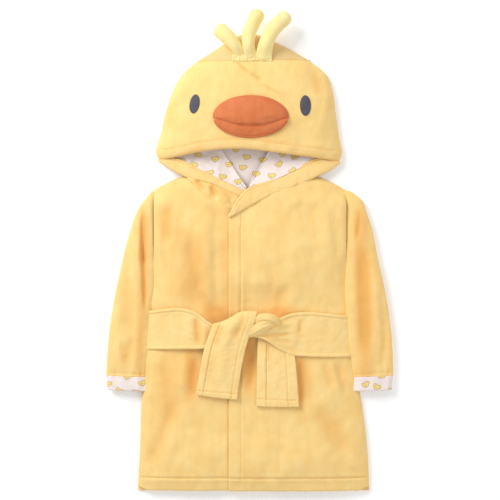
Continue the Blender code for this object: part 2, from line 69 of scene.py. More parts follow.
def flow(points, at):  # a smooth curve through a few points, read off at any place
    xs, ys = np.array(points, float).T
    slopes = np.gradient(ys, xs)
    i = np.clip(np.searchsorted(xs, at) - 1, 0, len(xs) - 2)
    span = xs[i + 1] - xs[i]
    t = np.clip((at - xs[i]) / span, 0, 1)
    ends = (1 + 2 * t) * (1 - t) ** 2 * ys[i] + t * t * (3 - 2 * t) * ys[i + 1]
    return ends + span * (t * (1 - t) ** 2 * slopes[i] - t * t * (1 - t) * slopes[i + 1])


def route(points, at):  # the same through points in the plane or in space, by distance along them
    points = np.array(points, float)
    far = np.concatenate([[0], np.cumsum(np.linalg.norm(np.diff(points, axis=0), axis=1))])
    far /= far[-1]
    return np.stack([flow(list(zip(far, points[:, k])), at) for k in range(points.shape[1])], -1)


def dome(share):
    return np.sqrt(np.clip(1 - np.abs(share) ** 2.6, 0, 1))


def folds(x, y, lines):  # soft ridges and valleys along straight lines: ends, width, height
    z = np.zeros(np.broadcast(x, y).shape)
    for x1, y1, x2, y2, width, height in lines:
        dx, dy = x2 - x1, y2 - y1
        far = math.hypot(dx, dy)
        along = ((x - x1) * dx + (y - y1) * dy) / far**2
        off = ((x - x1) * dy - (y - y1) * dx) / far
        z += height * np.exp(-((off / width) ** 2)) * smooth(along / 0.3) * smooth((1 - along) / 0.3)
    return z


def crumple(x, y, size, height, seed=0.0):  # uneven cloth, size is how wide a bump is
    at = np.stack([np.ravel(x) / size, np.ravel(y) / size], -1)
    z = [noise.fractal(Vector((a, b, seed)), 0.7, 2.1, 3) for a, b in at.tolist()]
    return height * np.reshape(z, np.shape(x))


def roll(gap, radius):  # how far a turned edge has dropped, by its distance from the edge
    inside = 1 - np.clip(gap / radius, 0, 1)
    return radius * (1 - np.sqrt(1 - inside * inside))


def groove(gap, width=1.1, deep=0.8, puff=0.5):  # a stitched line with cloth swelling beside it
    gap = np.abs(gap)
    return puff * np.exp(-(((gap - 3 * width) / (1.8 * width)) ** 2)) - deep * np.exp(-((gap / width) ** 2))


def steps(length, cell, near=(), fine=0.7):  # grid lines, closer at both edges and by the seams
    at, out = 0.0, [0.0]
    while at < length - fine:
        gap = min([at, length - at] + [abs(at + fine - n) for n in near])
        at += min(cell, max(fine, gap * 0.4))
        out.append(min(at, length))
    out[-1] = length
    return np.array(out) / length


# making pieces

def linkPiece(name, bm, material):
    mesh = bpy.data.meshes.new(name)
    bm.to_mesh(mesh)
    bm.free()
    mesh.shade_smooth()
    mesh.materials.append(material)
    piece = bpy.data.objects.new(name, mesh)
    bpy.context.scene.collection.objects.link(piece)
    return piece


def finishMesh(name, bm, middle, material, wall):
    bmesh.ops.remove_doubles(bm, verts=bm.verts, dist=1e-6)
    bmesh.ops.recalc_face_normals(bm, faces=bm.faces)
    middle = Vector(middle) * mm
    if sum(f.normal.dot(f.calc_center_median() - middle) * f.calc_area() for f in bm.faces) < 0:
        bmesh.ops.reverse_faces(bm, faces=bm.faces)
    piece = linkPiece(name, bm, material)
    if wall:
        solid = piece.modifiers.new("wall", "SOLIDIFY")
        solid.thickness = wall * mm
        solid.offset = -1
        solid.use_even_offset = False
    return piece


def gridPiece(name, us, vs, place, material, wall=0.0, middle=(0, 0, -1000), paintedShade=None):
    # a grid bent to place(u, v); the last argument, a function of (x, y), gives each point's share of
    # painted shade for creases and hollows, kept in the attribute deep
    bm = bmesh.new()
    bmesh.ops.create_grid(bm, x_segments=len(us) - 1, y_segments=len(vs) - 1, size=0.5)
    bm.verts.ensure_lookup_table()
    at = np.array([v.co[:2] for v in bm.verts]) + 0.5
    u = np.asarray(us)[np.rint(at[:, 0] * (len(us) - 1)).astype(int)]
    v = np.asarray(vs)[np.rint(at[:, 1] * (len(vs) - 1)).astype(int)]
    x, y, z = (np.broadcast_to(a, u.shape) for a in place(u, v))
    # painted shade: how far each point takes on the darker crease colour
    deep = bm.verts.layers.float.new("deep")
    shadeShare = np.clip(paintedShade(x, y), 0, 1) if paintedShade else np.zeros(len(u))
    cloth = bm.loops.layers.uv.new("cloth")
    for vert, a, b, c, d in zip(bm.verts, x.tolist(), y.tolist(), z.tolist(), shadeShare.tolist()):
        vert.co = (a * mm, b * mm, c * mm)
        vert[deep] = d
    for face in bm.faces:
        for loop in face.loops:
            loop[cloth].uv = loop.vert.co.xy
    return finishMesh(name, bm, middle, material, wall)


def stitchRow(name, path, material, pitch=3.0, share=0.62, thick=0.42):
    # short threads laid end to end along a path of points in millimetres
    path = np.asarray(path, float)
    far = np.concatenate([[0], np.cumsum(np.linalg.norm(np.diff(path, axis=0), axis=1))])
    bm = bmesh.new()
    for i in range(max(1, int(far[-1] / pitch))):
        ends = [Vector([np.interp((i + s) * pitch, far, path[:, k]) for k in range(3)]) for s in (0, share)]
        along = ends[1] - ends[0]
        if along.length < 0.2:
            continue
        made = bmesh.ops.create_icosphere(bm, subdivisions=1, radius=0.5)["verts"]
        bmesh.ops.scale(bm, vec=(thick * 2, thick * 1.4, along.length * 1.08), verts=made)
        turn = Vector((0, 0, 1)).rotation_difference(along).to_matrix()
        bmesh.ops.rotate(bm, cent=(0, 0, 0), matrix=turn, verts=made)
        bmesh.ops.translate(bm, vec=(ends[0] + ends[1]) / 2, verts=made)
    bmesh.ops.scale(bm, vec=(mm, mm, mm), verts=bm.verts)
    bmesh.ops.recalc_face_normals(bm, faces=bm.faces)
    return linkPiece(name, bm, material)


# finishes

def addNode(tree, kind, inputs=(), **settings):
    node = tree.nodes.new("ShaderNode" + kind)
    for key, value in settings.items():
        setattr(node, key, value)
    for key, value in dict(inputs).items():
        if isinstance(value, bpy.types.NodeSocket):
            tree.links.new(value, node.inputs[key])
        else:
            node.inputs[key].default_value = value
    return node


def sums(tree, operation, a, b=0.0, c=0.0):
    return addNode(tree, "Math", {0: a, 1: b, 2: c}, operation=operation).outputs[0]


def colourMix(tree, share, a, b, blend="MIX"):
    node = addNode(tree, "Mix", {0: share, 6: a, 7: b}, data_type="RGBA", blend_type=blend)
    return node.outputs[2]


def ramp(tree, value, low, high, toLow=0.0, toHigh=1.0):
    sockets = {"Value": value, "From Min": low, "From Max": high, "To Min": toLow, "To Max": toHigh}
    return addNode(tree, "MapRange", sockets).outputs[0]


def linear(red, green, blue):  # a screen colour as light
    parts = [c / 255 for c in (red, green, blue)]
    return (*[c / 12.92 if c <= 0.04045 else ((c + 0.055) / 1.055) ** 2.4 for c in parts], 1)


def newMaterial(name, roughness, sheen, sheenTint, sheenRough=0.35, specular=0.15):
    material = bpy.data.materials.new(name)
    material.use_nodes = True
    tree = material.node_tree
    shader = tree.nodes["Principled BSDF"]
    shader.inputs["Roughness"].default_value = roughness
    shader.inputs["Sheen Weight"].default_value = sheen
    shader.inputs["Sheen Roughness"].default_value = sheenRough
    shader.inputs["Sheen Tint"].default_value = sheenTint
    shader.inputs["Specular IOR Level"].default_value = specular
    return material, tree, shader


def clothNoise(tree, where, scale, detail=2.0, stretch=(1, 1, 1)):
    spread = addNode(tree, "Mapping", {"Vector": where, "Scale": stretch}).outputs[0]
    found = addNode(tree, "TexNoise",
                    {"Vector": spread, "Scale": scale, "Detail": detail, "Roughness": 0.6})
    return found.outputs[0]


velourLook = {
    "pileScale": 1150.0,  # tufts of pile a metre
    "pileHeight": 0.00045,
    "mottleScale": 34.0,
    "brushScale": 120.0,
    # how strongly the painted crease shade darkens the cloth
    "creaseShadeShare": 0.7,
}


def makeVelour(name, light, shade, creaseShade, sheen=0.25):
    look = velourLook
    material, tree, shader = newMaterial(name, 0.92, sheen, linear(255, 240, 205))
    where = addNode(tree, "TexCoord").outputs["Object"]
    mottle = clothNoise(tree, where, look["mottleScale"], 3)
    brushed = clothNoise(tree, where, look["brushScale"], 3, (1, 0.3, 1))
    pile = clothNoise(tree, where, look["pileScale"], 2)
    nap = sums(tree, "MULTIPLY_ADD", brushed, 0.55, sums(tree, "MULTIPLY", mottle, 0.6))
    base = colourMix(tree, ramp(tree, nap, 0.43, 0.72), linear(*shade), linear(*light))
    grain = colourMix(tree, ramp(tree, pile, 0.3, 0.7, 0.0, 1.0), (0.93, 0.9, 0.84, 1), (1, 1, 1, 1))
    base = colourMix(tree, 1.0, base, grain, "MULTIPLY")
    # painted shade: the attribute deep blends in the darker, more orange third colour where creases and
    # hollows lie in shade
    deep = addNode(tree, "Attribute", attribute_name="deep").outputs["Fac"]
    base = colourMix(tree, sums(tree, "MULTIPLY", deep, look["creaseShadeShare"]), base, linear(*creaseShade))
    tree.links.new(base, shader.inputs["Base Color"])
    rough = ramp(tree, pile, 0.3, 0.7, 0.86, 1.0)
    tree.links.new(rough, shader.inputs["Roughness"])
    height = sums(tree, "MULTIPLY_ADD", brushed, 1.2, pile)
    bump = addNode(tree, "Bump", {"Strength": 0.6, "Distance": look["pileHeight"], "Height": height})
    tree.links.new(bump.outputs[0], shader.inputs["Normal"])
    return material


printLook = {"pitch": 0.0195, "lean": 0.35, "scatter": 0.34}


def makePrint(name, ground=(246, 232, 226)):
    # small generic chicks scattered on pale cotton, drawn in the piece's own flat measure
    look = printLook
    material, tree, shader = newMaterial(name, 0.85, 0.1, (1, 1, 1, 1))
    where = addNode(tree, "UVMap", uv_map="cloth").outputs[0]
    size = 1 / look["pitch"]
    spread = addNode(tree, "Mapping",
                     {"Vector": where, "Scale": (size, size * 1.1, 1), "Rotation": (0, 0, look["lean"])})
    cell = addNode(tree, "VectorMath", {0: spread.outputs[0]}, operation="FLOOR").outputs[0]
    chance = addNode(tree, "TexWhiteNoise", {"Vector": cell}, noise_dimensions="2D")
    local = addNode(tree, "VectorMath", {0: spread.outputs[0]}, operation="FRACTION").outputs[0]
    local = addNode(tree, "VectorMath", {0: local, 1: (0.5, 0.5, 0)}, operation="SUBTRACT").outputs[0]
    shift = addNode(tree, "VectorMath", {0: chance.outputs["Color"], 1: (0.5, 0.5, 0.5)},
                    operation="SUBTRACT")
    shift = addNode(tree, "VectorMath", {0: shift.outputs[0], "Scale": look["scatter"]},
                    operation="SCALE").outputs[0]
    local = addNode(tree, "VectorMath", {0: local, 1: shift}, operation="ADD").outputs[0]
    angle = ramp(tree, chance.outputs["Value"], 0, 1, -0.7, 0.7)
    chick = addNode(tree, "VectorRotate", {"Vector": local, "Angle": angle},
                    rotation_type="Z_AXIS").outputs[0]

    def blob(x, y, halfX, halfY, soft=0.05):  # 1 inside the ellipse
        off = addNode(tree, "VectorMath", {0: chick, 1: (x, y, 0)}, operation="SUBTRACT").outputs[0]
        off = addNode(tree, "VectorMath", {0: off, 1: (1 / halfX, 1 / halfY, 0)},
                      operation="MULTIPLY").outputs[0]
        far = addNode(tree, "VectorMath", {0: off}, operation="LENGTH").outputs["Value"]
        return ramp(tree, far, 1 + soft, 1 - soft)

    def either(a, b):
        return sums(tree, "MAXIMUM", a, b)

    parts = [(-0.04, -0.05, 0.19, 0.15), (0.1, 0.08, 0.115, 0.11), (-0.2, 0.02, 0.07, 0.06)]
    body, outline = None, None
    for x, y, halfX, halfY in parts:
        inner, outer = blob(x, y, halfX, halfY), blob(x, y, halfX + 0.028, halfY + 0.028)
        body = inner if body is None else either(body, inner)
        outline = outer if outline is None else either(outline, outer)
    wing = sums(tree, "SUBTRACT", blob(-0.06, -0.04, 0.09, 0.06), blob(-0.06, -0.025, 0.075, 0.05))
    beak = blob(0.235, 0.07, 0.045, 0.03)
    feet = either(blob(-0.06, -0.225, 0.014, 0.05), blob(0.02, -0.225, 0.014, 0.05))
    eye = blob(0.13, 0.1, 0.02, 0.022)
    weave = clothNoise(tree, where, 900.0, 1)
    base = colourMix(tree, weave, linear(*(c - 9 for c in ground)), linear(*ground))
    base = colourMix(tree, either(outline, feet), base, linear(150, 128, 98))
    base = colourMix(tree, beak, base, linear(232, 150, 72))
    base = colourMix(tree, body, base, linear(247, 219, 132))
    base = colourMix(tree, either(wing, eye), base, linear(150, 122, 84))
    tree.links.new(base, shader.inputs["Base Color"])
    bump = addNode(tree, "Bump", {"Strength": 0.35, "Distance": 0.0002, "Height": weave})
    tree.links.new(bump.outputs[0], shader.inputs["Normal"])
    return material


def makeThread(name, colour, sheen=0.2):
    material, tree, shader = newMaterial(name, 0.6, sheen, (1, 1, 1, 1), 0.3, 0.3)
    where = addNode(tree, "TexCoord").outputs["Object"]
    twist = addNode(tree, "TexWave", {"Vector": where, "Scale": 900.0, "Distortion": 1.5},
                    bands_direction="DIAGONAL")
    base = colourMix(tree, twist.outputs["Fac"], linear(*(c * 0.86 for c in colour)), linear(*colour))
    tree.links.new(base, shader.inputs["Base Color"])
    bump = addNode(tree, "Bump", {"Strength": 0.4, "Distance": 0.0002, "Height": twist.outputs["Fac"]})
    tree.links.new(bump.outputs[0], shader.inputs["Normal"])
    return material


# the third colour of each velour is painted shade for creases and hollows; the first two are nap tones
# mixed at random
robeVelour = makeVelour("robeVelour", (255, 223, 152), (252, 212, 136), (236, 164, 78))
hoodVelour = makeVelour("hoodVelour", (255, 223, 152), (252, 214, 138), (238, 172, 86))
bandVelour = makeVelour("bandVelour", (255, 222, 154), (253, 212, 138), (238, 168, 82))
beltVelour = makeVelour("beltVelour", (255, 225, 158), (254, 216, 142), (238, 170, 84))
tuftVelour = makeVelour("tuftVelour", (255, 240, 176), (254, 232, 156), (248, 206, 118))
beakVelour = makeVelour("beakVelour", (226, 134, 88), (214, 120, 74), (178, 84, 44), 0.3)
chickPrint = makePrint("chickPrint")
robeThread = makeThread("robeThread", (250, 205, 128))
beakThread = makeThread("beakThread", (238, 152, 112))
eyeThread = makeThread("eyeThread", (96, 93, 104), 0.35)
print("finishes made")


# the body of the robe

robe = {
    "sides": {-1: [(96, 125), (-10, 125.5), (-44, 128), (-77, 132), (-129, 135), (-168, 139.5),
                   (-204, 141.5), (-266, 143.5), (-313.5, 146)],
              1: [(96, 125), (-10, 125.5), (-78, 127.5), (-139, 132.5), (-165, 139), (-219, 148.5),
                  (-266, 153.5), (-313.5, 155.5)]},
    "crest": [(-313.5, 14.5), (-296, 19), (-230, 20.2), (-167, 20.2), (-143, 17), (-110, 16.6),
              (-70, 17), (-42, 22.6), (0, 24), (60, 21), (96, 19)],
    "cell": 2.1,
    "hemRow": 17.5,  # stitch line above the hem
    "edgeRow": 15.8,  # stitch line inside the free edge
    "roll": 2.6,
}


def sideX(y, side):
    return side * flow(robe["sides"][side][::-1], y)


def shoulderY(x):
    return shoulderTop - 18 * np.maximum(0, (np.abs(x) - neckHalf) / (chestHalf - neckHalf)) ** 1.3


def beltLift(y):
    return 2.8 * smooth((-48 - y) / 22) * smooth((y + 165) / 22)


def armholeLift(y):
    return 9.6 * smooth((y + 45) / 60) * smooth((80 - y) / 24)


def frontZ(x, y, step=0.0):  # the height of the front of the robe
    left, right = sideX(y, -1), sideX(y, 1)
    share = (2 * x - left - right) / (right - left)
    base = sheetFloor + beltLift(y) + armholeLift(y)
    into = np.clip((shoulderY(x) - y) / 26, 0, 1)
    atSeam = 1 - np.sqrt(np.clip(1 - (1 - into) ** 2.2, 0, 1))
    closed = smooth((np.abs(x) - 60) / 30) * atSeam
    return base + (flow(robe["crest"], y) - step - base) * dome(share) * (1 - closed)


def neckOver(x):
    line = [(-28, 42), (-14, 52), (24, 73), (65, 90), (90, 99)]
    return np.minimum(flow(line, x), shoulderY(x))


def neckUnder(x):
    line = [(-86, 98), (-76, 87), (-58, 71), (-27, 56), (34, 36)]
    return np.minimum(flow(line, x), shoulderY(x))


chestFolds = [  # ends, width and height of each soft fold
    (-107, 66, -108, 0, 6.5, -2.0), (-97, 60, -98, -5, 6, 1.6), (-117, 40, -117, -40, 4, 1.0),
    (-80, 34, -62, -70, 8, -2.8), (-64, 40, -48, -30, 9, 1.9), (-47, 10, -44, -70, 6, -1.2),
    (-92, 10, -88, -70, 7, 1.3), (-100, -20, -60, -82, 7, -1.4), (-70, -50, -40, -92, 6, -2.2),
    (-60, 58, -36, 40, 4, -1.3), (-85, 72, -60, 52, 5, -0.9),
    (60, 66, 90, 40, 10, -1.1), (40, 58, 100, 66, 6, 1.1), (96, 70, 104, -10, 7, 1.3),
    (111, 60, 113, -30, 6, -1.0),
    (20, 50, 10, -30, 12, 0.9), (60, 30, 48, -60, 11, 0.9), (78, 10, 84, -60, 8, -1.2),
    (30, -10, 26, -86, 7, -1.5), (44, -40, 34, -92, 6, -1.9), (64, -40, 50, -84, 7, 1.6),
    (8, -30, 6, -84, 6, 1.2),
]
skirtFolds = [
    (-112, -132, -100, -230, 7, -1.9), (-84, -130, -90, -190, 7, 1.8), (-70, -132, -76, -200, 5, -2.0),
    (-93, -195, -136, -290, 8, -2.8), (-78, -190, -118, -300, 9, 1.9), (-128, -150, -132, -250, 5, 1.0),
    (-56, -205, -64, -300, 9, -1.1), (-44, -200, -42, -290, 6, 0.9), (96, -142, 108, -182, 4.5, -2.1),
    (112, -142, 128, -188, 5, -1.9), (104, -140, 118, -190, 4, 1.5), (81, -195, 134, -272, 9, -2.6),
    (68, -190, 110, -285, 9, 1.8), (74, -138, 80, -200, 6, -1.7), (39, -204, 39, -300, 2.4, -0.9),
    (64, -137, 66, -205, 5, -2.6), (2, -122, 1, -190, 6, -2.4), (50, -206, 62, -300, 8, 0.9),
    (128, -200, 140, -300, 7, 1.1), (20, -205, 14, -300, 7, 0.8),
]


def bodyRelief(x, y):
    relief = folds(x, y, chestFolds + skirtFolds)
    relief = relief + crumple(x, y, 60, 1.8) + crumple(x, y, 22, 0.4, 7)
    underBelt = smooth((-80 - y) / 6) * smooth((y + 132) / 6)
    pulled = 1.7 * smooth((y + 82) / 16) * smooth((-40 - y) / 20) * np.exp(-(((x - 10) / 60) ** 2))
    return relief * (1 - 0.85 * underBelt) - pulled


# painted shade: darker, more orange colour along the deeper valleys and in listed hollows
def bodyPaintedShade(x, y):
    valleys = [(a, b, c, d, w * 1.5, -h / 6.5) for a, b, c, d, w, h in chestFolds + skirtFolds if h < -1.2]
    shade = folds(x, y, valleys)
    shadedHollows = [(-43, -84, 17, 12, 1.2), (39, -81, 24, 9, 0.9), (-72, -18, 30, 56, 0.3),
               (-33, -10, 6, 70, 0.4), (-107, 34, 12, 36, 0.35), (-76, -156, 9, 34, 0.9),
               (-1, -140, 8, 40, 1.1), (66, -165, 7, 34, 1.0), (-100, -170, 30, 40, 0.3)]
    for midX, midY, halfX, halfY, share in shadedHollows:
        shade = shade + share * np.exp(-(((x - midX) / halfX) ** 2) - ((y - midY) / halfY) ** 2)
    return shade


def atSide(x, y, inset=7.0):  # how far the relief may act: nothing where the front turns down
    return smooth(np.minimum(x - sideX(y, -1), sideX(y, 1) - x) / inset)


def overSurface(x, y):
    # the upper front, with its stitched free edge and hem
    fade = atSide(x, y) * smooth((neckOver(x) - y) / 10 + 0.15)
    z = frontZ(x, y) + bodyRelief(x, y) * fade
    z = z + groove(x - (overlapX + robe["edgeRow"])) * smooth((36 - y) / 8)
    z = z + groove(y - (hemY + robe["hemRow"])) * fade
    return z - roll(x - overlapX, robe["roll"]) - roll(y - hemY, robe["roll"])


def makeFronts():
    cells = steps(168, robe["cell"], (robe["edgeRow"], 164))
    rows = steps(408, robe["cell"] * 1.05, (robe["hemRow"],), 0.8)

    def over(u, v):
        out = 1 - (1 - u) ** 1.25
        y = mix(hemY, neckOver(mix(overlapX, chestHalf, out)), v)
        x = mix(overlapX, sideX(y, 1), out)
        corner = smooth((x - 139) / 16) * 5.0  # the hem rounds off at the side seam
        y = y + corner * (1 - v) ** 14
        return x, y, overSurface(x, y)

    front = gridPiece("frontOver", cells, rows, over, robeVelour, velourThick, paintedShade=bodyPaintedShade)

    def under(u, v):
        out = 1 - (1 - u) ** 1.25
        y = mix(hemY + 0.8, neckUnder(mix(34, -chestHalf, out)), v)
        x = mix(34, sideX(y, -1), out)
        y = y + smooth((-x - 132) / 14) * 5.0 * (1 - v) ** 14
        fade = atSide(x, y) * smooth((neckUnder(x) - y) / 10 + 0.1)
        hidden = smooth((x - overlapX + 2) / 6)
        z = frontZ(x, y, 3.4) + bodyRelief(x, y) * fade * (1 - hidden)
        z = z + groove(y - (hemY + robe["hemRow"])) * fade
        z = z + 2.2 * smooth((overlapX - 14 - x) / 14) - 1.5 * hidden
        return x, y, z - roll(y - hemY, robe["roll"])

    beneath = gridPiece("frontUnder", cells, rows, under, robeVelour, velourThick, paintedShade=bodyPaintedShade)

    def back(u, v):
        xTop = mix(-chestHalf, chestHalf, u)
        y = mix(hemY, shoulderY(xTop), v)
        x = mix(sideX(y, -1), sideX(y, 1), u)
        ripple = crumple(x, y, 60, 0.35, 3) - 0.35
        return x, y, 0.3 + velourThick + beltLift(y) + ripple * atSide(x, y, 12)

    behind = gridPiece("robeBack", steps(290, 4), steps(408, 4), back, robeVelour, velourThick)
    return front, beneath, behind


frontOver, frontUnder, robeBack = makeFronts()


def lineOver(xs, ys, lift=0.25, surface=overSurface):  # a stitch path on the cloth
    xs, ys = np.broadcast_arrays(np.asarray(xs, float), np.asarray(ys, float))
    return np.stack([xs, ys, surface(xs, ys) + lift], -1)


ways = np.linspace(0, 1, 160)
edgeStitch = stitchRow("edgeStitch", lineOver(overlapX + robe["edgeRow"], mix(50, hemY + 18, ways)),
                       robeThread)
hemStitchOver = stitchRow("hemStitchOver", lineOver(mix(-25, 150, ways), hemY + robe["hemRow"]), robeThread)
print("body made")


# sleeves

sleeve = {"spread": 61.0, "drop": 240.0, "height": 12.4, "swell": 2.0, "cuff": 19.0}
sleeveOuter = {-1: [(0, 0.03), (0.088, 0.3), (0.22, 0.5), (0.41, 0.69), (0.62, 0.86), (0.82, 0.965),
                    (1, 1.01)],
               1: [(0, 0.08), (0.042, 0.3), (0.12, 0.43), (0.204, 0.54), (0.35, 0.655), (0.525, 0.81),
                   (0.82, 0.974), (1, 1)]}


def sleeveSection(t, side):
    tuck = 7.0 * (1 - smooth(t / 0.015))  # the seam end lies beneath the body
    t = np.maximum(t - 0.015, 0) / 0.985
    drop = t**0.8
    outerX = chestHalf + 0.6 + sleeve["spread"] * flow(sleeveOuter[side], drop) - tuck
    outerY = armholeTop - sleeve["drop"] * drop
    innerY = mix(armholeFoot, armholeTop - sleeve["drop"] - 2, t)
    clear = mix(-1.5, -3.5, smooth(t * 3))
    innerX = np.abs(sideX(innerY, side)) + clear - tuck
    return side * innerX, innerY, side * outerX, outerY


sleeveFolds = {
    -1: [(-139.5, 62, -139, -30, 2.6, -5.0), (-139, 10, -136, -84, 2.6, -3.6),
         (-146, 30, -150, -70, 6, 1.6), (-162, -20, -158, -120, 7, -1.4),
         (-172, -60, -170, -150, 6, 1.0), (-150, -110, -163, -150, 5, -1.5),
         (-168, -118, -158, -158, 4, -1.2), (-146, -90, -150, -160, 5, 1.0),
         (-131, 60, -131, 0, 3.5, 1.2)],
    1: [(141.5, 58, 139, 10, 3.0, -2.6), (145, 20, 150, -150, 9, -3.0), (160, 0, 168, -120, 6, 1.6),
        (170, -60, 178, -150, 5, -1.2), (152, -110, 160, -158, 5, 1.1), (176, -100, 170, -156, 4, -1.2),
        (131, 60, 131, 0, 3.5, 1.2), (150, 40, 160, 0, 5, -1.0)],
}


def makeSleeve(side, word):
    def ring(u, t):
        innerX, innerY, outerX, outerY = sleeveSection(np.minimum(t, 1), side)
        past = np.maximum(0, t - 1)
        turn = 2 * math.pi * u
        across, up = np.cos(turn), np.sin(turn)
        midX = (innerX + outerX) / 2 - side * 2.0 * past
        midY = (innerY + outerY) / 2 - sleeve["cuff"] * past
        share = np.sign(across) * np.abs(across) ** 0.8
        x = midX + (outerX - innerX) / 2 * share
        y = midY + (outerY - innerY) / 2 * share
        height = (sleeve["height"] + sleeve["swell"] * np.sin(math.pi * np.minimum(t, 1))) / 2
        height = height * mix(0.62, 1, smooth((t + 0.004) / 0.028))
        z = height + height * np.sign(up) * np.abs(up) ** 0.8
        return x, y, z, np.clip(up * 1.6, 0, 1)

    def tube(u, t):
        x, y, z, top = ring(u, t)
        relief = folds(x, y, sleeveFolds[side]) + crumple(x, y, 40, 1.1, 11 + side)
        relief = relief + crumple(x, y, 16, 0.25, 5)
        relief = relief * smooth((t - 0.01) / 0.1) * smooth((1.0 - t) / 0.03)
        relief = relief - 0.9 * np.exp(-(((t - 0.985) / 0.012) ** 2))
        gather = 0.5 * np.sin(u * 2 * math.pi * 15) * smooth((t - 0.9) / 0.1)
        return x, y, z + (relief + gather) * top

    # painted shade along the sleeve's valleys and in the crevice where the sleeve meets the body
    def deep(x, y):
        valleys = [(a, b, c, d, w * 1.1, -h / 4) for a, b, c, d, w, h in sleeveFolds[side] if h < -1.1]
        shade = folds(x, y, valleys)
        wide = 10 if side > 0 else 6
        at = 145 if side > 0 else 137
        off = (np.abs(x) - at - np.maximum(0, -y) * 0.04) / wide
        inner = 0.6 * np.exp(-(off**2)) * smooth((66 - y) / 40)
        return shade + inner

    arm = gridPiece(f"sleeve{word}", np.linspace(0, 1, 97), steps(250, 2.2), tube, robeVelour, velourThick,
                    (side * 155, -60, 6), deep)

    def cuffTube(u, v):
        x, y, z, top = ring(u, 1.002 + 0.998 * v)
        swell = 0.45 * np.sin(u * 2 * math.pi * 9 + 1.0) + crumple(x, y, 9, 0.5, 4)
        edge = roll(v * sleeve["cuff"], 1.2) + roll((1 - v) * sleeve["cuff"], 1.6)
        lift = (0.5 + swell) * top - edge * np.sign(top)
        return x, y, z + lift

    cuff = gridPiece(f"cuff{word}", np.linspace(0, 1, 97), steps(19, 1.0, (), 0.4), cuffTube, chickPrint,
                     1.6,
                     (side * 163, -176, 6))
    return arm, cuff


sleeveLeft, cuffLeft = makeSleeve(-1, "Left")
sleeveRight, cuffRight = makeSleeve(1, "Right")
for piece, side, word in ((sleeveLeft, -1, "left"), (sleeveRight, 1, "right")):
    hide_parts(f"sleeve_{word}")
    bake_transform(piece)
for piece, word in ((cuffLeft, "left"), (cuffRight, "right")):
    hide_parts(f"cuff_{word}")
    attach(piece, f"sleeve_{word}")
print("sleeves made")

# the body's pieces: the upper front also stands in for its free corner
for piece, nodes in ((frontOver, ("front_panel_over", "front_corner")),
                     (frontUnder, ("front_panel_under",)),
                     (robeBack, ("back_panel",))):
    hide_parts(*nodes)
for piece in (frontUnder, robeBack):
    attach(piece, "robe")
for piece in (frontOver, edgeStitch, hemStitchOver):
    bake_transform(piece)


# the hood

hood = {
    "left": [(100, -88), (110, -108), (117.5, -118), (122, -121), (152, -116), (189, -107), (215, -97),
             (231, -86), (247, -67), (259, -48.5), (270, -32), (278, -18), (283.6, -1)],
    "right": [(100, 88), (110, 108), (117.5, 117), (124, 119.5), (145, 116.5), (177, 112), (210, 107),
              (228, 100), (242, 84), (256, 61), (268, 39), (278, 17), (283.6, 1)],
    "height": [(117.5, 24.5), (150, 30), (189, 29.4), (215, 26.4), (231, 24), (247, 20.4), (262, 15),
               (275, 8.5), (283.6, 4.4)],
    "brim": [(-121, 117), (-98, 120), (-66, 126.5), (-34, 130), (0, 129.7), (24, 127), (60, 122.5),
             (92, 118.5), (119, 115)],
    "brimWide": 14.0,
    "cell": 1.9,
}
hoodCreases = [(-18, 245, 1, 226, 1.3, -1.9), (-3, 229, 18, 218, 1.2, -1.8),
               (9, 217, 42, 199, 1.3, -1.8), (-10, 243, 8, 226, 4.5, 1.4), (14, 213, 44, 195, 5, 1.3),
               (34, 203, 62, 196, 2, -0.6), (-70, 240, -95, 190, 10, 1.0), (84, 236, 90, 196, 6, -1.5),
               (100, 215, 98, 160, 7, 0.8), (-40, 150, 46, 147, 7, -0.8),
               (-100, 200, -106, 150, 7, -0.9), (60, 226, 40, 240, 8, 0.7)]


def hoodZ(x, y, inset=0.0):
    left, right = flow(hood["left"], y), flow(hood["right"], y)
    share = (2 * x - left - right) / (right - left)
    return sheetFloor + np.maximum(0.5, flow(hood["height"], y) - inset - sheetFloor) * dome(share)


def hoodRelief(x, y):
    left, right = flow(hood["left"], y), flow(hood["right"], y)
    fade = smooth(np.minimum(x - left, right - x) / 9)
    return (folds(x, y, hoodCreases) + crumple(x, y, 42, 1.7, 21) + crumple(x, y, 14, 0.4, 22)) * fade


def hoodSurface(x, y):
    return hoodZ(x, y) + hoodRelief(x, y)


# painted shade along the hood's valleys
def hoodPaintedShade(x, y):
    valleys = [(a, b, c, d, w * 1.3, -h / 3.0) for a, b, c, d, w, h in hoodCreases if h < 0]
    return folds(x, y, valleys)


def brimLow(x):
    return flow(hood["brim"], x)


def hoodStrip(low, high, lowRoll, highRoll, shape=hoodSurface):
    # a panel between two lines over the hood, low(x) and high(x), each edge turned down a little
    def place(u, v):
        out = 0.5 - 0.5 * np.cos(math.pi * u)
        x = mix(-118.0, 117.0, out)
        for _ in range(3):
            y = mix(low(x), high(x), v)
            x = mix(flow(hood["left"], y), flow(hood["right"], y), out)
        wide = high(x) - low(x)
        return x, y, shape(x, y) - roll(v * wide, lowRoll) - roll((1 - v) * wide, highRoll)

    return place


def brimTop(x):
    return brimLow(x) + hood["brimWide"] + 0.6 * np.cos(x / 40)


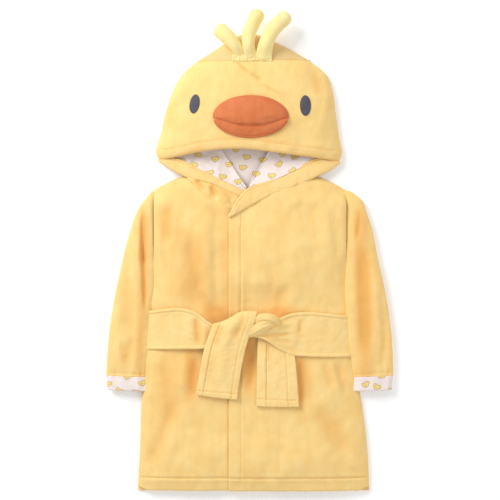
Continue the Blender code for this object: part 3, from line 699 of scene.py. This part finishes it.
def makeHood():
    across = np.linspace(0, 1, 121)

    def brimShape(x, y):
        inside = (y - brimLow(x)) / hood["brimWide"]
        puff = 1.4 * np.sin(math.pi * np.clip(inside, 0, 1)) ** 0.7
        return hoodSurface(x, y) + puff + groove(inside - 0.86, 0.06, 0.5, 0)

    brim = gridPiece("hoodBrim", across, steps(15, 1.0, (12,), 0.4),
                     hoodStrip(brimLow, brimTop, 3.2, 0.7, brimShape),
                     bandVelour, velourThick, paintedShade=hoodPaintedShade)

    def seam(x):
        return 0 * x + crownSeam + 0.8 * np.sin(x / 30)

    face = gridPiece("hoodFace", across, steps(102, hood["cell"], (44, 96), 0.6),
                     hoodStrip(lambda x: brimTop(x) - 0.5, seam, 0.6, 0.8), hoodVelour, velourThick,
                     paintedShade=hoodPaintedShade)

    def crown(u, v):
        out = 0.5 - 0.5 * np.cos(math.pi * u)
        y = mix(crownSeam - 0.4, 283.2, v)
        x = mix(flow(hood["left"], y), flow(hood["right"], y), out)
        y = y + 0.8 * np.sin(x / 30) * (1 - v)
        return x, y, hoodSurface(x, y) - roll(v * 37, 0.8)

    top = gridPiece("hoodCrown", np.linspace(0, 1, 97), steps(37, 1.7, (), 0.4), crown, shadedCrownVelour,
                    velourThick)

    def back(u, v):
        y = mix(96.8, 282.5, v)
        half = 0.3 + 0 * y
        x = mix(flow(hood["left"], y) + half, flow(hood["right"], y) - half, u)
        return x, y, 0.2 + velourThick + crumple(x, y, 55, 0.2, 30)

    behind = gridPiece("hoodBack", steps(230, 4), steps(186, 3), back, hoodVelour, 2.2)

    def liningFront(u, v):
        out = 0.5 - 0.5 * np.cos(math.pi * u)
        x = mix(-112.0, 111.0, out)
        for _ in range(3):
            y = mix(brimLow(x) + 2.2, 232, v)
            x = mix(flow(hood["left"], y) + 6.5, flow(hood["right"], y) - 6.5, out)
        return x, y, hoodZ(x, y, 4.3) - 0.4 + 0.5 * hoodRelief(x, y)

    inner = gridPiece("hoodLiningFront", np.linspace(0, 1, 61), steps(100, 3), liningFront, chickPrint,
                      liningThick)
    return brim, face, top, behind, inner


# a duller, darker copy of the hood velour: painted shade on the crown, which slopes away
shadedCrownVelour = makeVelour("shadedCrownVelour", (243, 211, 154), (238, 204, 142), (226, 170, 98))
hoodBrim, hoodFace, hoodCrown, hoodBack, hoodLiningFront = makeHood()
for piece, nodes in ((hoodBrim, ("hood_brim_band",)), (hoodFace, ("hood_face_panel",)),
                     (hoodCrown, ("hood_crown_panel",)), (hoodLiningFront, ("hood_lining_front",))):
    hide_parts(*nodes)
    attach(piece, "hood")
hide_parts("neck_back_panel", "hood_back_panel")

ways = np.linspace(0, 1, 160)
brimX = mix(-112, 111, ways)
brimPath = np.stack([brimX, brimLow(brimX) + 12.1, hoodSurface(brimX, brimLow(brimX) + 12.1) + 1.1], -1)
brimStitch = stitchRow("brimStitch", brimPath, robeThread, 2.8)
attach(brimStitch, "hood")
print("hood made")


# the opening: printed lining, collar bands and the gathered cloth under them

collar = {
    -1: {"inner": [(-118.5, 118), (-98, 120.5), (-70, 108), (-40, 93), (-9, 78), (6, 70)],
         "outer": [(-119.5, 115), (-104, 105.5), (-89, 97), (-49, 84.5), (-12, 67), (2, 59)],
         "top": [8, 11, 13.6, 16.6, 18.0, 17.2]},
    1: {"inner": [(117, 116), (93, 121.5), (57, 105.6), (20.5, 89), (-7, 77.5), (-17, 65), (-28.6, 43.5)],
        "outer": [(117.5, 112.5), (104, 103), (90, 96.5), (54, 80), (20.5, 67.5), (-2, 55), (-26, 41.5)],
        "top": [8, 10.5, 13.5, 18.2, 21.8, 23.6, 24.8]},
}


def makeBand(side, word):
    look = collar[side]
    innerLine = [(x, y, z) for (x, y), z in zip(look["inner"], look["top"])]
    outerLine = [(x, y, z) for (x, y), z in zip(look["outer"], look["top"])]

    def band(u, v):
        inner, outer = route(innerLine, u), route(outerLine, u)
        at = outer + (inner - outer) * v[:, None]
        wide = np.linalg.norm(inner - outer, axis=1)
        puff = np.minimum(1.7, wide * 0.14) * np.sin(math.pi * v) ** 0.6
        seam = groove((1 - v) * wide - 3.6, 0.7, 0.5, 0.25) * smooth(wide / 10)
        edge = roll(v * wide, 2.4) + roll((1 - v) * wide, 2.4)
        wave = crumple(at[:, 0], at[:, 1], 13, 0.7, 40 + side) + crumple(at[:, 0], at[:, 1], 5, 0.2, 44)
        return at[:, 0], at[:, 1], at[:, 2] + puff + seam - edge + wave

    # painted shade in a few creases of the band
    def deep(x, y):
        return folds(x, y,
                     [(55, 76, 66, 90, 4, 0.5), (-70, 88, -40, 80, 4, 0.4), (-12, 60, -20, 52, 4, 0.25)])

    piece = gridPiece(f"collarBand{word}", steps(165, 1.1), steps(17, 0.8, (13.4,), 0.35), band, bandVelour,
                      velourThick, paintedShade=deep)
    ends = np.linspace(0.12, 0.97, 140)
    inner, outer = route(innerLine, ends), route(outerLine, ends)
    inset = np.clip(3.6 / np.linalg.norm(inner - outer, axis=1), 0, 0.4)[:, None]
    path = inner + (outer - inner) * inset
    path[:, 2] += 0.9 + crumple(path[:, 0], path[:, 1], 13, 0.7, 40 + side)
    row = stitchRow(f"bandStitch{word}", path, robeThread, 2.6)
    return piece, row


def makeNeckSides():
    def left(u, v):
        outer = route([(x, y, z - 1.2) for (x, y), z in zip(collar[-1]["outer"], collar[-1]["top"])],
                      mix(0.3, 0.93, u))
        outer[:, 1] += 3
        x = mix(-80, -18, u)
        low = np.stack([x, neckUnder(x) - 1.5, frontZ(x, neckUnder(x) - 3, 3.4) - 1.0], -1)
        at = low + (outer - low) * v[:, None]
        tucks = folds(at[:, 0], at[:, 1], [(-70, 92, -60, 72, 3, -2.4), (-50, 84, -42, 64, 3.2, -2.6),
                                           (-60, 88, -50, 68, 4, 1.6), (-38, 80, -30, 58, 5, 1.4),
                                           (-26, 70, -22, 54, 3, -1.4)])
        z = at[:, 2] + 1.2 * np.sin(math.pi * v) + tucks + crumple(at[:, 0], at[:, 1], 9, 0.6, 51)
        return at[:, 0], at[:, 1], z

    # painted shade in the gathers under the left collar band; the right side is given the same function
    def neckPaintedShade(x, y):
        return folds(x, y,
                     [(-72, 96, -60, 78, 4, 0.9), (-52, 88, -44, 70, 4.5, 0.9), (-44, 84, -20, 66, 8, 0.7)])

    sideLeft = gridPiece("hoodSideLeft", steps(64, 1.3), steps(28, 1.3), left, hoodVelour, 2.2,
                         paintedShade=neckPaintedShade)

    def right(u, v):
        outer = route([(x, y, z - 3.6) for (x, y), z in zip(collar[1]["outer"], collar[1]["top"])],
                      mix(0.31, 0.66, u))
        inward = np.stack([-2.0 + 0 * u, 9.0 + 0 * u, 0 * u], -1)
        foot = outer + np.stack([1.0 + 0 * u, -4.5 + 0 * u, -1.6 + 0 * u], -1)
        at = foot + (outer + inward - foot) * v[:, None]
        tucks = folds(at[:, 0], at[:, 1], [(52, 72, 68, 92, 2.6, -1.8), (60, 76, 76, 94, 3, 1.0)])
        return at[:, 0], at[:, 1], at[:, 2] + tucks

    sideRight = gridPiece("hoodSideRight", steps(70, 1.3), steps(13, 1.2), right, hoodVelour, 2.0,
                          paintedShade=neckPaintedShade)
    return sideLeft, sideRight


def makeMouthLining():
    edges = {
        -1: ([(-114, 117.5, 8), (-98, 118, 10), (-68, 104.5, 14), (-38, 89, 16.5), (-5, 76, 17)],
             [(-113, 124, 7), (-92, 150, 6), (-68, 156, 6), (-46, 144, 6.5), (-28, 116, 7.5),
              (-4.5, 81, 11)]),
        1: ([(112, 115.5, 8), (93, 118.5, 10), (57, 102.5, 15.5), (20.5, 86, 19), (-6, 75, 18.5)],
            [(112, 124, 7), (92, 150, 6), (60, 156, 6), (34, 143, 6.5), (17, 116, 8), (-2.0, 82, 12)]),
    }

    def side(which):
        near, far = edges[which]

        def place(u, v):
            low, high = route(near, u), route(far, u)
            at = low + (high - low) * v[:, None]
            sag = -3.0 * np.sin(math.pi * v) * smooth((1 - u) / 0.3)
            lip = 1.5 * np.exp(-(((v - 1) / 0.07) ** 2)) * smooth((u - 0.6) / 0.15)
            wave = crumple(at[:, 0], at[:, 1], 16, 1.5, 60 + which)
            z = at[:, 2] + sag + lip + wave * np.sin(math.pi * v) ** 0.5
            return at[:, 0], at[:, 1], np.maximum(z, 4.6)

        return place

    left = gridPiece("mouthLiningLeft", steps(150, 1.9), steps(40, 1.5, (38,)), side(-1), chickPrint,
                     liningThick)
    right = gridPiece("mouthLiningRight", steps(150, 1.9), steps(40, 1.5, (38,)), side(1), chickPrint,
                      liningThick)

    def back(u, v):
        y = mix(78, 240, v)
        narrow = smooth((y - 118) / 14)
        x = mix(mix(-30 + 14 * smooth((118 - y) / 40), flow(hood["left"], y) + 6, narrow),
                mix(17 - 12 * smooth((118 - y) / 40), flow(hood["right"], y) - 6, narrow), u)
        return x, y, 4.2 + crumple(x, y, 18, 0.5, 64)

    behind = gridPiece("mouthLiningBack", steps(90, 2.2), steps(162, 2.2), back, chickPrint, liningThick)
    return left, right, behind


collarBandLeft, bandStitchLeft = makeBand(-1, "Left")
collarBandRight, bandStitchRight = makeBand(1, "Right")
hoodSideLeft, hoodSideRight = makeNeckSides()
mouthLiningLeft, mouthLiningRight, mouthLiningBack = makeMouthLining()
for piece, nodes in ((collarBandLeft, ("collar_band_left",)), (collarBandRight, ("collar_band_right",)),
                     (hoodSideLeft, ("hood_side_left",)), (hoodSideRight, ("hood_side_right",)),
                     (mouthLiningLeft, ("collar_lining_left",)),
                     (mouthLiningRight, ("collar_lining_right",)),
                     (mouthLiningBack, ("collar_lining_centre", "hood_lining_back"))):
    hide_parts(*nodes)
for piece in (collarBandLeft, collarBandRight, bandStitchLeft, bandStitchRight, hoodBack, mouthLiningLeft,
              mouthLiningRight, mouthLiningBack):
    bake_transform(piece)
for piece in (hoodSideLeft, hoodSideRight):
    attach(piece, "robe")
print("collar made")


# a stuffed or rolled tube along a route, rounded at both ends

def tubePlace(line, radii, flat, wrinkle, caps=0.16):
    def place(u, v):
        startCap, endCap = np.clip(v / caps, 0, 1), np.clip((1 - v) / caps, 0, 1)
        t = np.clip((v - caps) / (1 - 2 * caps), 0, 1)
        at = route(line, t)
        ahead, behind = route(line, np.clip(t + 0.01, 0, 1)), route(line, np.clip(t - 0.01, 0, 1))
        along = ahead - behind
        along /= np.linalg.norm(along, axis=1)[:, None]
        beside = np.stack([along[:, 1], -along[:, 0], 0 * t], -1)
        beside /= np.linalg.norm(beside, axis=1)[:, None]
        above = np.cross(beside, along)
        radius = flow(radii, t)
        a, b = math.pi / 2 * (1 - startCap), math.pi / 2 * (1 - endCap)
        at = at + along * (radius * (np.sin(b) - np.sin(a)) * (1 - 0.25))[:, None]
        turn = 2 * math.pi * u
        size = radius * np.cos(a) * np.cos(b)
        size = size * (1 + wrinkle(turn, t))
        at = at + beside * (size * np.cos(turn))[:, None] + above * (size * np.sin(turn) * flat(t))[:, None]
        return at[:, 0], at[:, 1], at[:, 2]

    return place


# the belt

belt = {
    "top": [(-143, -80), (-118, -76.5), (-83, -76), (-69, -81), (-52, -93), (-38, -100), (-15, -107),
            (0, -110.5), (20, -100.5), (39, -89.5), (58, -81.8), (76, -80), (127, -84), (146, -85)],
    "bottom": [(-143, -129.5), (-85, -128.5), (-60, -128), (-45, -126), (-20, -119), (0, -112.5),
               (23, -116.5), (39, -127.5), (57, -136), (76, -138), (110, -139), (146, -139)],
    "rim": 4.6,
    "thick": 2.3,
}
beltFolds = [(-69, -84, -67, -126, 3.0, -2.6), (-78, -82, -78, -124, 5, 1.2),
             (-60, -90, -58, -124, 4, 1.2), (66, -88, 64, -110, 2.0, -1.8), (58, -88, 56, -128, 5, 1.4),
             (6, -111, 56, -108, 1.7, -1.6), (30, -112, 52, -110, 2.0, -1.4),
             (8, -109, 60, -92, 3.5, 1.6), (14, -112, 56, -128, 3, 1.5),
             (20, -115, 60, -120, 2.4, -1.1), (102, -86, 100, -136, 8, -0.6),
             (-112, -80, -114, -126, 8, -0.6)]


# painted shade along the belt's creases and by the knot
def beltPaintedShade(x, y):
    return folds(x, y, [(-69, -84, -67, -128, 5, 0.8), (66, -86, 64, -112, 3, 0.5),
                        (8, -112, 56, -109, 2.6, 0.5), (-56, -96, -52, -124, 6, 0.5),
                        (20, -115, 60, -121, 3, 0.3)])


def makeBelt():
    def loop(u, v):
        front = u <= 0.7
        share = np.where(front, -np.cos(math.pi * u / 0.7), np.cos(math.pi * (u - 0.7) / 0.3))
        guess = share * 139
        frontY = mix(flow(belt["bottom"], guess), flow(belt["top"], guess), v)
        y = np.where(front, frontY, mix(-133, -80, v))
        atEnd = smooth((np.abs(share) - 0.97) / 0.03)
        y = mix(y, mix(-133, -80, v) * 0.5 + 0.5 * frontY, atEnd)
        x = mix(sideX(y, -1) - 3.2, sideX(y, 1) + 3.2, (share + 1) / 2)
        wide = np.maximum(flow(belt["top"], guess) - flow(belt["bottom"], guess), 2)
        gap = np.minimum(v, 1 - v) * wide
        rim = 1.1 * smooth((belt["rim"] + 0.5 - gap) / 1.2)
        rim = rim + groove(gap - belt["rim"], 0.9, 0.35, 0) * smooth((wide - 12) / 8)
        relief = folds(x, y, beltFolds) + crumple(x, y, 26, 0.8, 71) + crumple(x, y, 8, 0.3, 72)
        past = np.minimum(x - sideX(y, -1), sideX(y, 1) - x)
        rise = 8.5 * np.exp(-(((x - 16) / 27) ** 2)) + 1.5 * np.exp(-(((x + 60) / 26) ** 2))
        z = mix(0.2, frontZ(x, y) + 3.4, smooth((past + 3.2) / 3.4))
        z = z + (relief + rim + rise) * smooth((1 - np.abs(share)) / 0.06)
        z = z - roll(gap, 1.7)
        return x, y, np.where(front, z, 0.2)

    return gridPiece("beltBand", np.linspace(0, 1, 241), steps(52, 0.9, (4.6, 47.4), 0.4), loop, beltVelour,
                     belt["thick"], (0, -108, 9), paintedShade=beltPaintedShade)


def coons(left, right, low, high, u, v):  # a patch inside four edges, each given as a route
    sides = mix(route(left, v), route(right, v), u[:, None])
    ends = mix(route(low, u), route(high, u), v[:, None])
    cornersLow = mix(np.array(low[0], float), np.array(low[-1], float), u[:, None])
    cornersHigh = mix(np.array(high[0], float), np.array(high[-1], float), u[:, None])
    return sides + ends - mix(cornersLow, cornersHigh, v[:, None])


tails = {
    "Left": {
        "left": [(-70, -187, 24), (-65, -158, 25), (-59, -127, 26), (-48, -95, 25)],
        "right": [(-16.5, -193.5, 24.5), (-12, -160, 26.5), (-5.6, -128, 28.5), (-0.6, -110, 31),
                  (6.5, -91, 35), (9.5, -78, 34)],
        "low": [(-70, -187, 24), (-43, -191, 24.6), (-16.5, -193.5, 24.5)],
        "high": [(-48, -95, 25), (-34, -91, 28), (-25, -86.5, 31), (-13, -79.5, 33.5), (9.5, -78, 34)],
        "rows": (9.0, 8.0, 7.0), "wide": 54, "long": 108,
        "folds": [(-20, -84, -34, -130, 5, 1.6), (-6, -84, -22, -120, 4, -1.5),
                  (-36, -94, -44, -128, 4, -1.2), (-30, -96, -36, -180, 7, 0.7),
                  (-48, -130, -52, -180, 6, -0.6)],
    },
    "Right": {
        "left": [(8, -202, 24), (8.6, -170, 24), (9.2, -135, 23), (10, -109, 20)],
        "right": [(63.5, -202.5, 24), (62, -180, 24), (60, -155, 23), (57.5, -129, 18.5)],
        "low": [(8, -202, 24), (36, -203, 24.4), (63.5, -202.5, 24)],
        "high": [(10, -109, 20), (34, -118, 20.5), (57.5, -129, 18.5)],
        "rows": (12.4, 13.5, 10.0), "wide": 53, "long": 90,
        "folds": [(24, -114, 25, -150, 2.4, -1.2), (34, -122, 38, -170, 6, 0.8),
                  (16, -120, 15, -190, 5, 0.5)],
    },
}


def tailSurface(look, u, v):
    at = coons(look["left"], look["right"], look["low"], look["high"], u, v)
    leftRow, rightRow, hemRow = look["rows"]
    fromLeft, fromRight, fromHem = u * look["wide"], (1 - u) * look["wide"], v * look["long"]
    hems = 0.7 * np.maximum(smooth((leftRow - fromLeft) / 0.8), smooth((rightRow - fromRight) / 0.8))
    hems = np.maximum(hems, 0.8 * smooth((hemRow - fromHem) / 0.8))
    rows = groove(fromLeft - leftRow, 0.9, 0.4, 0.2) + groove(fromRight - rightRow, 0.9, 0.4, 0.2)
    rows = rows + groove(fromHem - hemRow, 0.9, 0.4, 0.2)
    edge = roll(fromLeft, 1.5) + roll(fromRight, 1.5) + roll(fromHem, 1.5)
    relief = folds(at[:, 0], at[:, 1], look["folds"]) + crumple(at[:, 0], at[:, 1], 22, 0.9, 81)
    pucker = crumple(at[:, 0], at[:, 1], 5, 0.35, 82)
    at[:, 2] += hems + rows - edge + relief + pucker
    return at


def makeTail(word):
    look = tails[word]

    def place(u, v):
        at = tailSurface(look, u, v)
        turned = roll((1 - v) * look["long"], 4.5) if word == "Left" else 0
        return at[:, 0], at[:, 1], at[:, 2] - turned

    # painted shade along the tail's valleys
    def deep(x, y):
        return folds(x, y, [(a, b, c, d, w, -h / 3) for a, b, c, d, w, h in look["folds"] if h < 0])

    leftRow, rightRow, hemRow = look["rows"]
    piece = gridPiece(f"beltTail{word}", steps(look["wide"], 1.1, (leftRow, look["wide"] - rightRow), 0.4),
                      steps(look["long"], 1.4, (hemRow,), 0.4), place, beltVelour, 3.0, paintedShade=deep)
    rows = []
    ways = np.linspace(0, 1, 90)
    inner = hemRow / look["long"]
    lines = {"A": (leftRow / look["wide"] + 0 * ways, mix(0.01, 0.95, ways)),
             "B": (1 - rightRow / look["wide"] + 0 * ways, mix(0.01, 0.95, ways)),
             "C": (mix(0.02, 0.98, ways), inner + 0 * ways)}
    for mark, (us, vs) in lines.items():
        path = tailSurface(look, us, vs)
        path[:, 2] += 0.25
        rows.append(stitchRow(f"tail{word}Stitch{mark}", path, robeThread, 2.7))
    return piece, rows


def makeKnot():
    def rolled(turn, t):
        return 0.07 * np.sin(3 * turn + 5 * t) + 0.05 * np.sin(7 * turn - 3 * t)

    loops = [
        ([(2, -94, 27), (12, -88.5, 31), (23, -87.5, 32), (32, -91, 28.5), (36, -97, 21)],
         [(0, 5.2), (0.5, 6.2), (1, 4.8)], 0.85),
        ([(-5, -109, 26), (6, -103.5, 29.5), (16, -98.5, 30.5), (26, -95, 27), (32, -96, 20)],
         [(0, 4.6), (0.45, 7.2), (1, 4.4)], 0.85),
        ([(-3, -104, 26), (8, -98, 31.5), (20, -93, 32.0), (30, -92, 27)],
         [(0, 3.2), (0.5, 4.4), (1, 3)], 0.9),
    ]
    whole = None
    for line, radii, flat in loops:
        part = gridPiece("beltKnot", np.linspace(0, 1, 57), np.linspace(0, 1, 61),
                         tubePlace(line, radii, lambda t: flat, rolled), beltVelour, 0, (16, -99, 28))
        if whole is None:
            whole = part
        else:
            joined = bmesh.new()
            joined.from_mesh(whole.data)
            joined.from_mesh(part.data)
            joined.to_mesh(whole.data)
            joined.free()
            bpy.data.objects.remove(part)
    whole.data.shade_smooth()
    return whole


beltBand = makeBelt()
beltKnot = makeKnot()
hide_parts("belt_band")
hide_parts("belt_knot")
for piece in (beltBand, beltKnot):
    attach(piece, "robe")
swings = {"Left": ((6, -84, 28), (-16, -116, 28)), "Right": ((24, -110, 22), (28, -134, 22))}
for word, (start, end) in swings.items():
    piece, rows = makeTail(word)
    node = f"belt_tail_{word.lower()}"
    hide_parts(node)
    for part in (piece, *rows):
        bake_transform(part)
print("belt made")


# the face

face = {"beak": (1.0, 171.8, 48.9, 27.6), "rise": 9.0, "lipSag": 13.0, "lipBend": 0.0036,
        "eyes": {"Left": (-71.5, 188.4, 6.5, 12.6, -10), "Right": (71.5, 186.2, 7.2, 13.4, 0)}}


def beakEdge(turn):
    halfX, halfY = face["beak"][2:]
    across, up = np.cos(turn), np.sin(turn)
    rim = 1 / np.hypot(across / halfX, up / halfY)
    bend = np.maximum(face["lipBend"] * across * across, 1e-6)
    lip = (up + np.sqrt(up * up + 4 * bend * face["lipSag"])) / (2 * bend)
    return np.where(up >= 0, rim, np.minimum(rim, lip))


def makeBeak():
    midX, midY, halfX, halfY = face["beak"]

    def upper(u, v):
        turn = 2 * math.pi * u
        edge = beakEdge(turn)
        for shift in (-0.06, -0.03, 0.03, 0.06):  # rounds the two corners of the lip
            edge = np.minimum(edge, beakEdge(turn + shift) + 1.2)
        reach = edge * v
        x, y = midX + reach * np.cos(turn), midY + reach * np.sin(turn)
        gap = edge - reach
        rise = face["rise"] * np.clip(1 - v**2.3, 0, 1) ** 0.62
        lip = smooth((-np.sin(turn) - 0.1) / 0.5) * 1.1 * smooth(v)
        z = hoodZ(x, y) + 1.4 + rise + lip * 1.2 + groove(gap - 2.4, 0.8, 0.35, 0.2) + crumple(x, y, 22,
                                                                                               0.4, 91)
        creases = folds(x, y, [(18, 166, 40, 172, 1.2, -0.5), (14, 170, 36, 176, 1.6, 0.5),
                               (-30, 190, 10, 196, 5, 0.5)])
        return x, y, z + creases * smooth(gap / 4) - roll(gap, 1.3)

    top = gridPiece("beakUpper", np.linspace(0, 1, 145), 1 - steps(50, 1.3, (2.4,), 0.3)[::-1], upper,
                    beakVelour, 1.5,
                    (1, 174, 20))

    def lower(u, v):
        across = mix(-0.965, 0.965, 0.5 - 0.5 * np.cos(math.pi * u))
        x = midX + across * halfX
        low = midY - halfY * np.sqrt(1 - across**2)
        high = midY + np.minimum(-face["lipSag"] + face["lipBend"] * (x - midX) ** 2 + 3.0, 0.0)
        high = np.maximum(high, low + 1.0)
        y = mix(low, high, v)
        gap = v * (high - low)
        puff = 3.8 * np.sin(math.pi * np.clip(v * 0.8, 0, 1)) ** 0.7 * smooth((high - low) / 8)
        z = hoodZ(x, y) + 1.6 + puff + groove(gap - 2.0, 0.6, 0.5,
                                              0.2) * smooth((high - low - 6) / 6) - roll(gap, 1.3)
        return x, y, z + crumple(x, y, 9, 0.4, 93)

    bottom = gridPiece("beakLower", np.linspace(0, 1, 121), steps(17, 0.7, (2.0,), 0.3), lower, beakVelour,
                       1.5)
    turns = np.linspace(0, 1, 400)
    path = np.stack(upper(turns, 1 - 2.4 / beakEdge(2 * math.pi * turns)), -1)
    path[:, 2] += 0.2
    row = stitchRow("beakStitch", path, beakThread, 2.2, 0.7, 0.34)
    return top, bottom, row


def makeEye(word):
    midX, midY, halfX, halfY, tilt = face["eyes"][word]
    turn = math.radians(tilt)

    def place(u, v):
        across, up = halfX * v * np.cos(2 * math.pi * u), halfY * v * np.sin(2 * math.pi * u)
        ridge = 0.11 * np.sin(2 * math.pi * (across * 0.5 + up * 0.87) / 0.75)
        x = midX + across * math.cos(turn) - up * math.sin(turn)
        y = midY + across * math.sin(turn) + up * math.cos(turn)
        return x, y, hoodSurface(x, y) + 0.5 + 1.1 * (1 - v**3) ** 0.6 + ridge * (1 - v**8)

    piece = gridPiece(f"eye{word}", np.linspace(0, 1, 121), np.linspace(0, 1, 41), place, eyeThread, 0.8)
    return piece


tufts = {
    "left": ([(-12, 252, 22.5), (-16.5, 260, 25), (-25, 271, 25), (-38.5, 283.5, 22)], [(0, 5.8),
                                                                                        (0.3, 7.6),
                                                                                        (0.7, 9.6),
                                                                                        (1, 10)]),
    "middle": ([(0.5, 252, 22.8), (-1.8, 262, 26), (-1, 279, 25.5), (4, 293, 24), (9.5, 303.5, 22)],
               [(0, 7.4), (0.3, 8.2), (0.7, 9.2), (1, 9.8)]),
    "right": ([(17.5, 252, 22.5), (20.5, 265, 26), (28, 281, 25), (37, 292.5, 23.5), (45, 300, 22)],
              [(0, 10.2), (0.3, 9.6), (0.7, 9.6), (1, 10)]),
}


def makeTuft(word):
    line, radii = tufts[word]
    turn0 = len(word) * 1.3

    def rounding(t):  # flatter at the sewn end
        return flow([(0, 0.34), (0.3, 0.8), (0.6, 0.92), (1, 0.92)], t)

    def gathers(turn, t):
        pleats = 0.05 * np.sin(5 * turn + turn0) * np.exp(-((t / 0.25) ** 2))
        seam = 0.012 * np.exp(-(((turn - 4.7) / 0.1) ** 2))
        return pleats + 0.018 * np.sin(3 * turn + 9 * t + turn0) - seam

    return gridPiece(f"tuft{word.title()}", np.linspace(0, 1, 65), np.linspace(0, 1, 91),
                     tubePlace(line, radii, rounding, gathers, 0.14), tuftVelour, 0, (0, 276, 22))


def makeTab():
    def place(u, v):
        x = mix(-23.2, 28.6, u)
        y = mix(244.0, 252.6, v) + 0.5 * np.sin(x / 7)
        gap = np.minimum(np.minimum(u, 1 - u) * 52, np.minimum(v, 1 - v) * 8.6)
        rows = sum(groove(x - at, 0.5, 0.5, 0.2) for at in (-20.6, -12.6, -2.4, 7.5, 15.4, 26.2))
        pleat = 0.25 * np.sin(x / 1.9) * smooth(v * 1.5) + crumple(x, y, 5, 0.5, 95)
        bridge = 2.4 * smooth(v / 0.9)
        return x, y, np.maximum(hoodSurface(x, y), 20) + 1.3 + bridge + rows + pleat - roll(gap, 1.2)

    piece = gridPiece("tuftTab", steps(52, 0.5), steps(8.6, 0.5, (), 0.3), place, tuftVelour, 1.6)
    path = [(x, y, float(place(np.array([(x + 23.2) / 51.8]), np.array([(y - 244) / 8.6]))[2][0]) + 0.2)
            for x, y in ((-21, 245.3), (-10, 245.2), (3, 245.2), (15, 245.3), (26.5, 245.3))]
    row = stitchRow("tabStitch", route(path, np.linspace(0, 1, 60)), robeThread, 2.2, 0.65, 0.32)
    return piece, row


beakUpper, beakLower, beakStitch = makeBeak()
eyeLeft, eyeRight = makeEye("Left"), makeEye("Right")
tuftTab, tabStitch = makeTab()
for piece, nodes, slot in ((beakUpper, ("beak_upper", "beak_filling"), "beak"),
                           (beakLower, ("beak_lower",), "beak"),
                           (beakStitch, (), "beak"), (eyeLeft, ("eye_left",), "eye"),
                           (eyeRight, ("eye_right",), "eye"),
                           (tuftTab, ("tuft_tab",), "tuft"), (tabStitch, (), "tuft")):
    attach(piece, "hood")
    if nodes:
        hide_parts(*nodes)
for word in ("left", "middle", "right"):
    piece = makeTuft(word)
    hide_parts(f"tuft_{word}", f"tuft_filling_{word}")
    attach(piece, f"tuft_{word}")
print("face made")


# setting: floor, light and camera

stage = {
    "floorShade": 0.97,
    "floorGlow": 0.12,
    "sky": 0.55,
    "lamps": {  # place, size and power of each
        "key": ((-1.15, 1.05, 1.1), 1.0, 25.5),
        "fill": ((1.2, -0.5, 1.4), 1.5, 8.0),
    },
    "cameraHeight": 1.8156,
}


def makeStage():
    bm = bmesh.new()
    bmesh.ops.create_grid(bm, x_segments=1, y_segments=1, size=3.0)
    mesh = bpy.data.meshes.new("floor")
    bm.to_mesh(mesh)
    bm.free()
    floor = bpy.data.objects.new("floor", mesh)
    bpy.context.scene.collection.objects.link(floor)
    floor.location.z = -0.0004
    material, _, shader = newMaterial("floorPaper", 0.9, 0.0, (1, 1, 1, 1))
    shader.inputs["Base Color"].default_value = (*[stage["floorShade"]] * 3, 1)
    shader.inputs["Emission Color"].default_value = (1, 1, 1, 1)
    shader.inputs["Emission Strength"].default_value = stage["floorGlow"]
    mesh.materials.append(material)

    world = bpy.data.worlds.new("studio")
    bpy.context.scene.world = world
    world.use_nodes = True
    world.node_tree.nodes["Background"].inputs["Color"].default_value = (1, 1, 1, 1)
    world.node_tree.nodes["Background"].inputs["Strength"].default_value = stage["sky"]
    for name, (place, size, power) in stage["lamps"].items():
        light = bpy.data.lights.new(name, "AREA")
        light.size = size
        light.energy = power
        lamp = bpy.data.objects.new(name, light)
        bpy.context.scene.collection.objects.link(lamp)
        lamp.location = place
        lamp.rotation_euler = (Vector((0, 0, 0)) - Vector(place)).to_track_quat("-Z", "Y").to_euler()


def makeCamera():
    camera = bpy.data.cameras.new("camera")
    camera.lens = 100
    camera.sensor_width = 36
    eye = bpy.data.objects.new("camera", camera)
    bpy.context.scene.collection.objects.link(eye)
    eye.location = (0, 0, stage["cameraHeight"])
    bpy.context.scene.camera = eye


makeStage()
makeCamera()
bpy.context.scene.view_settings.view_transform = "Standard"
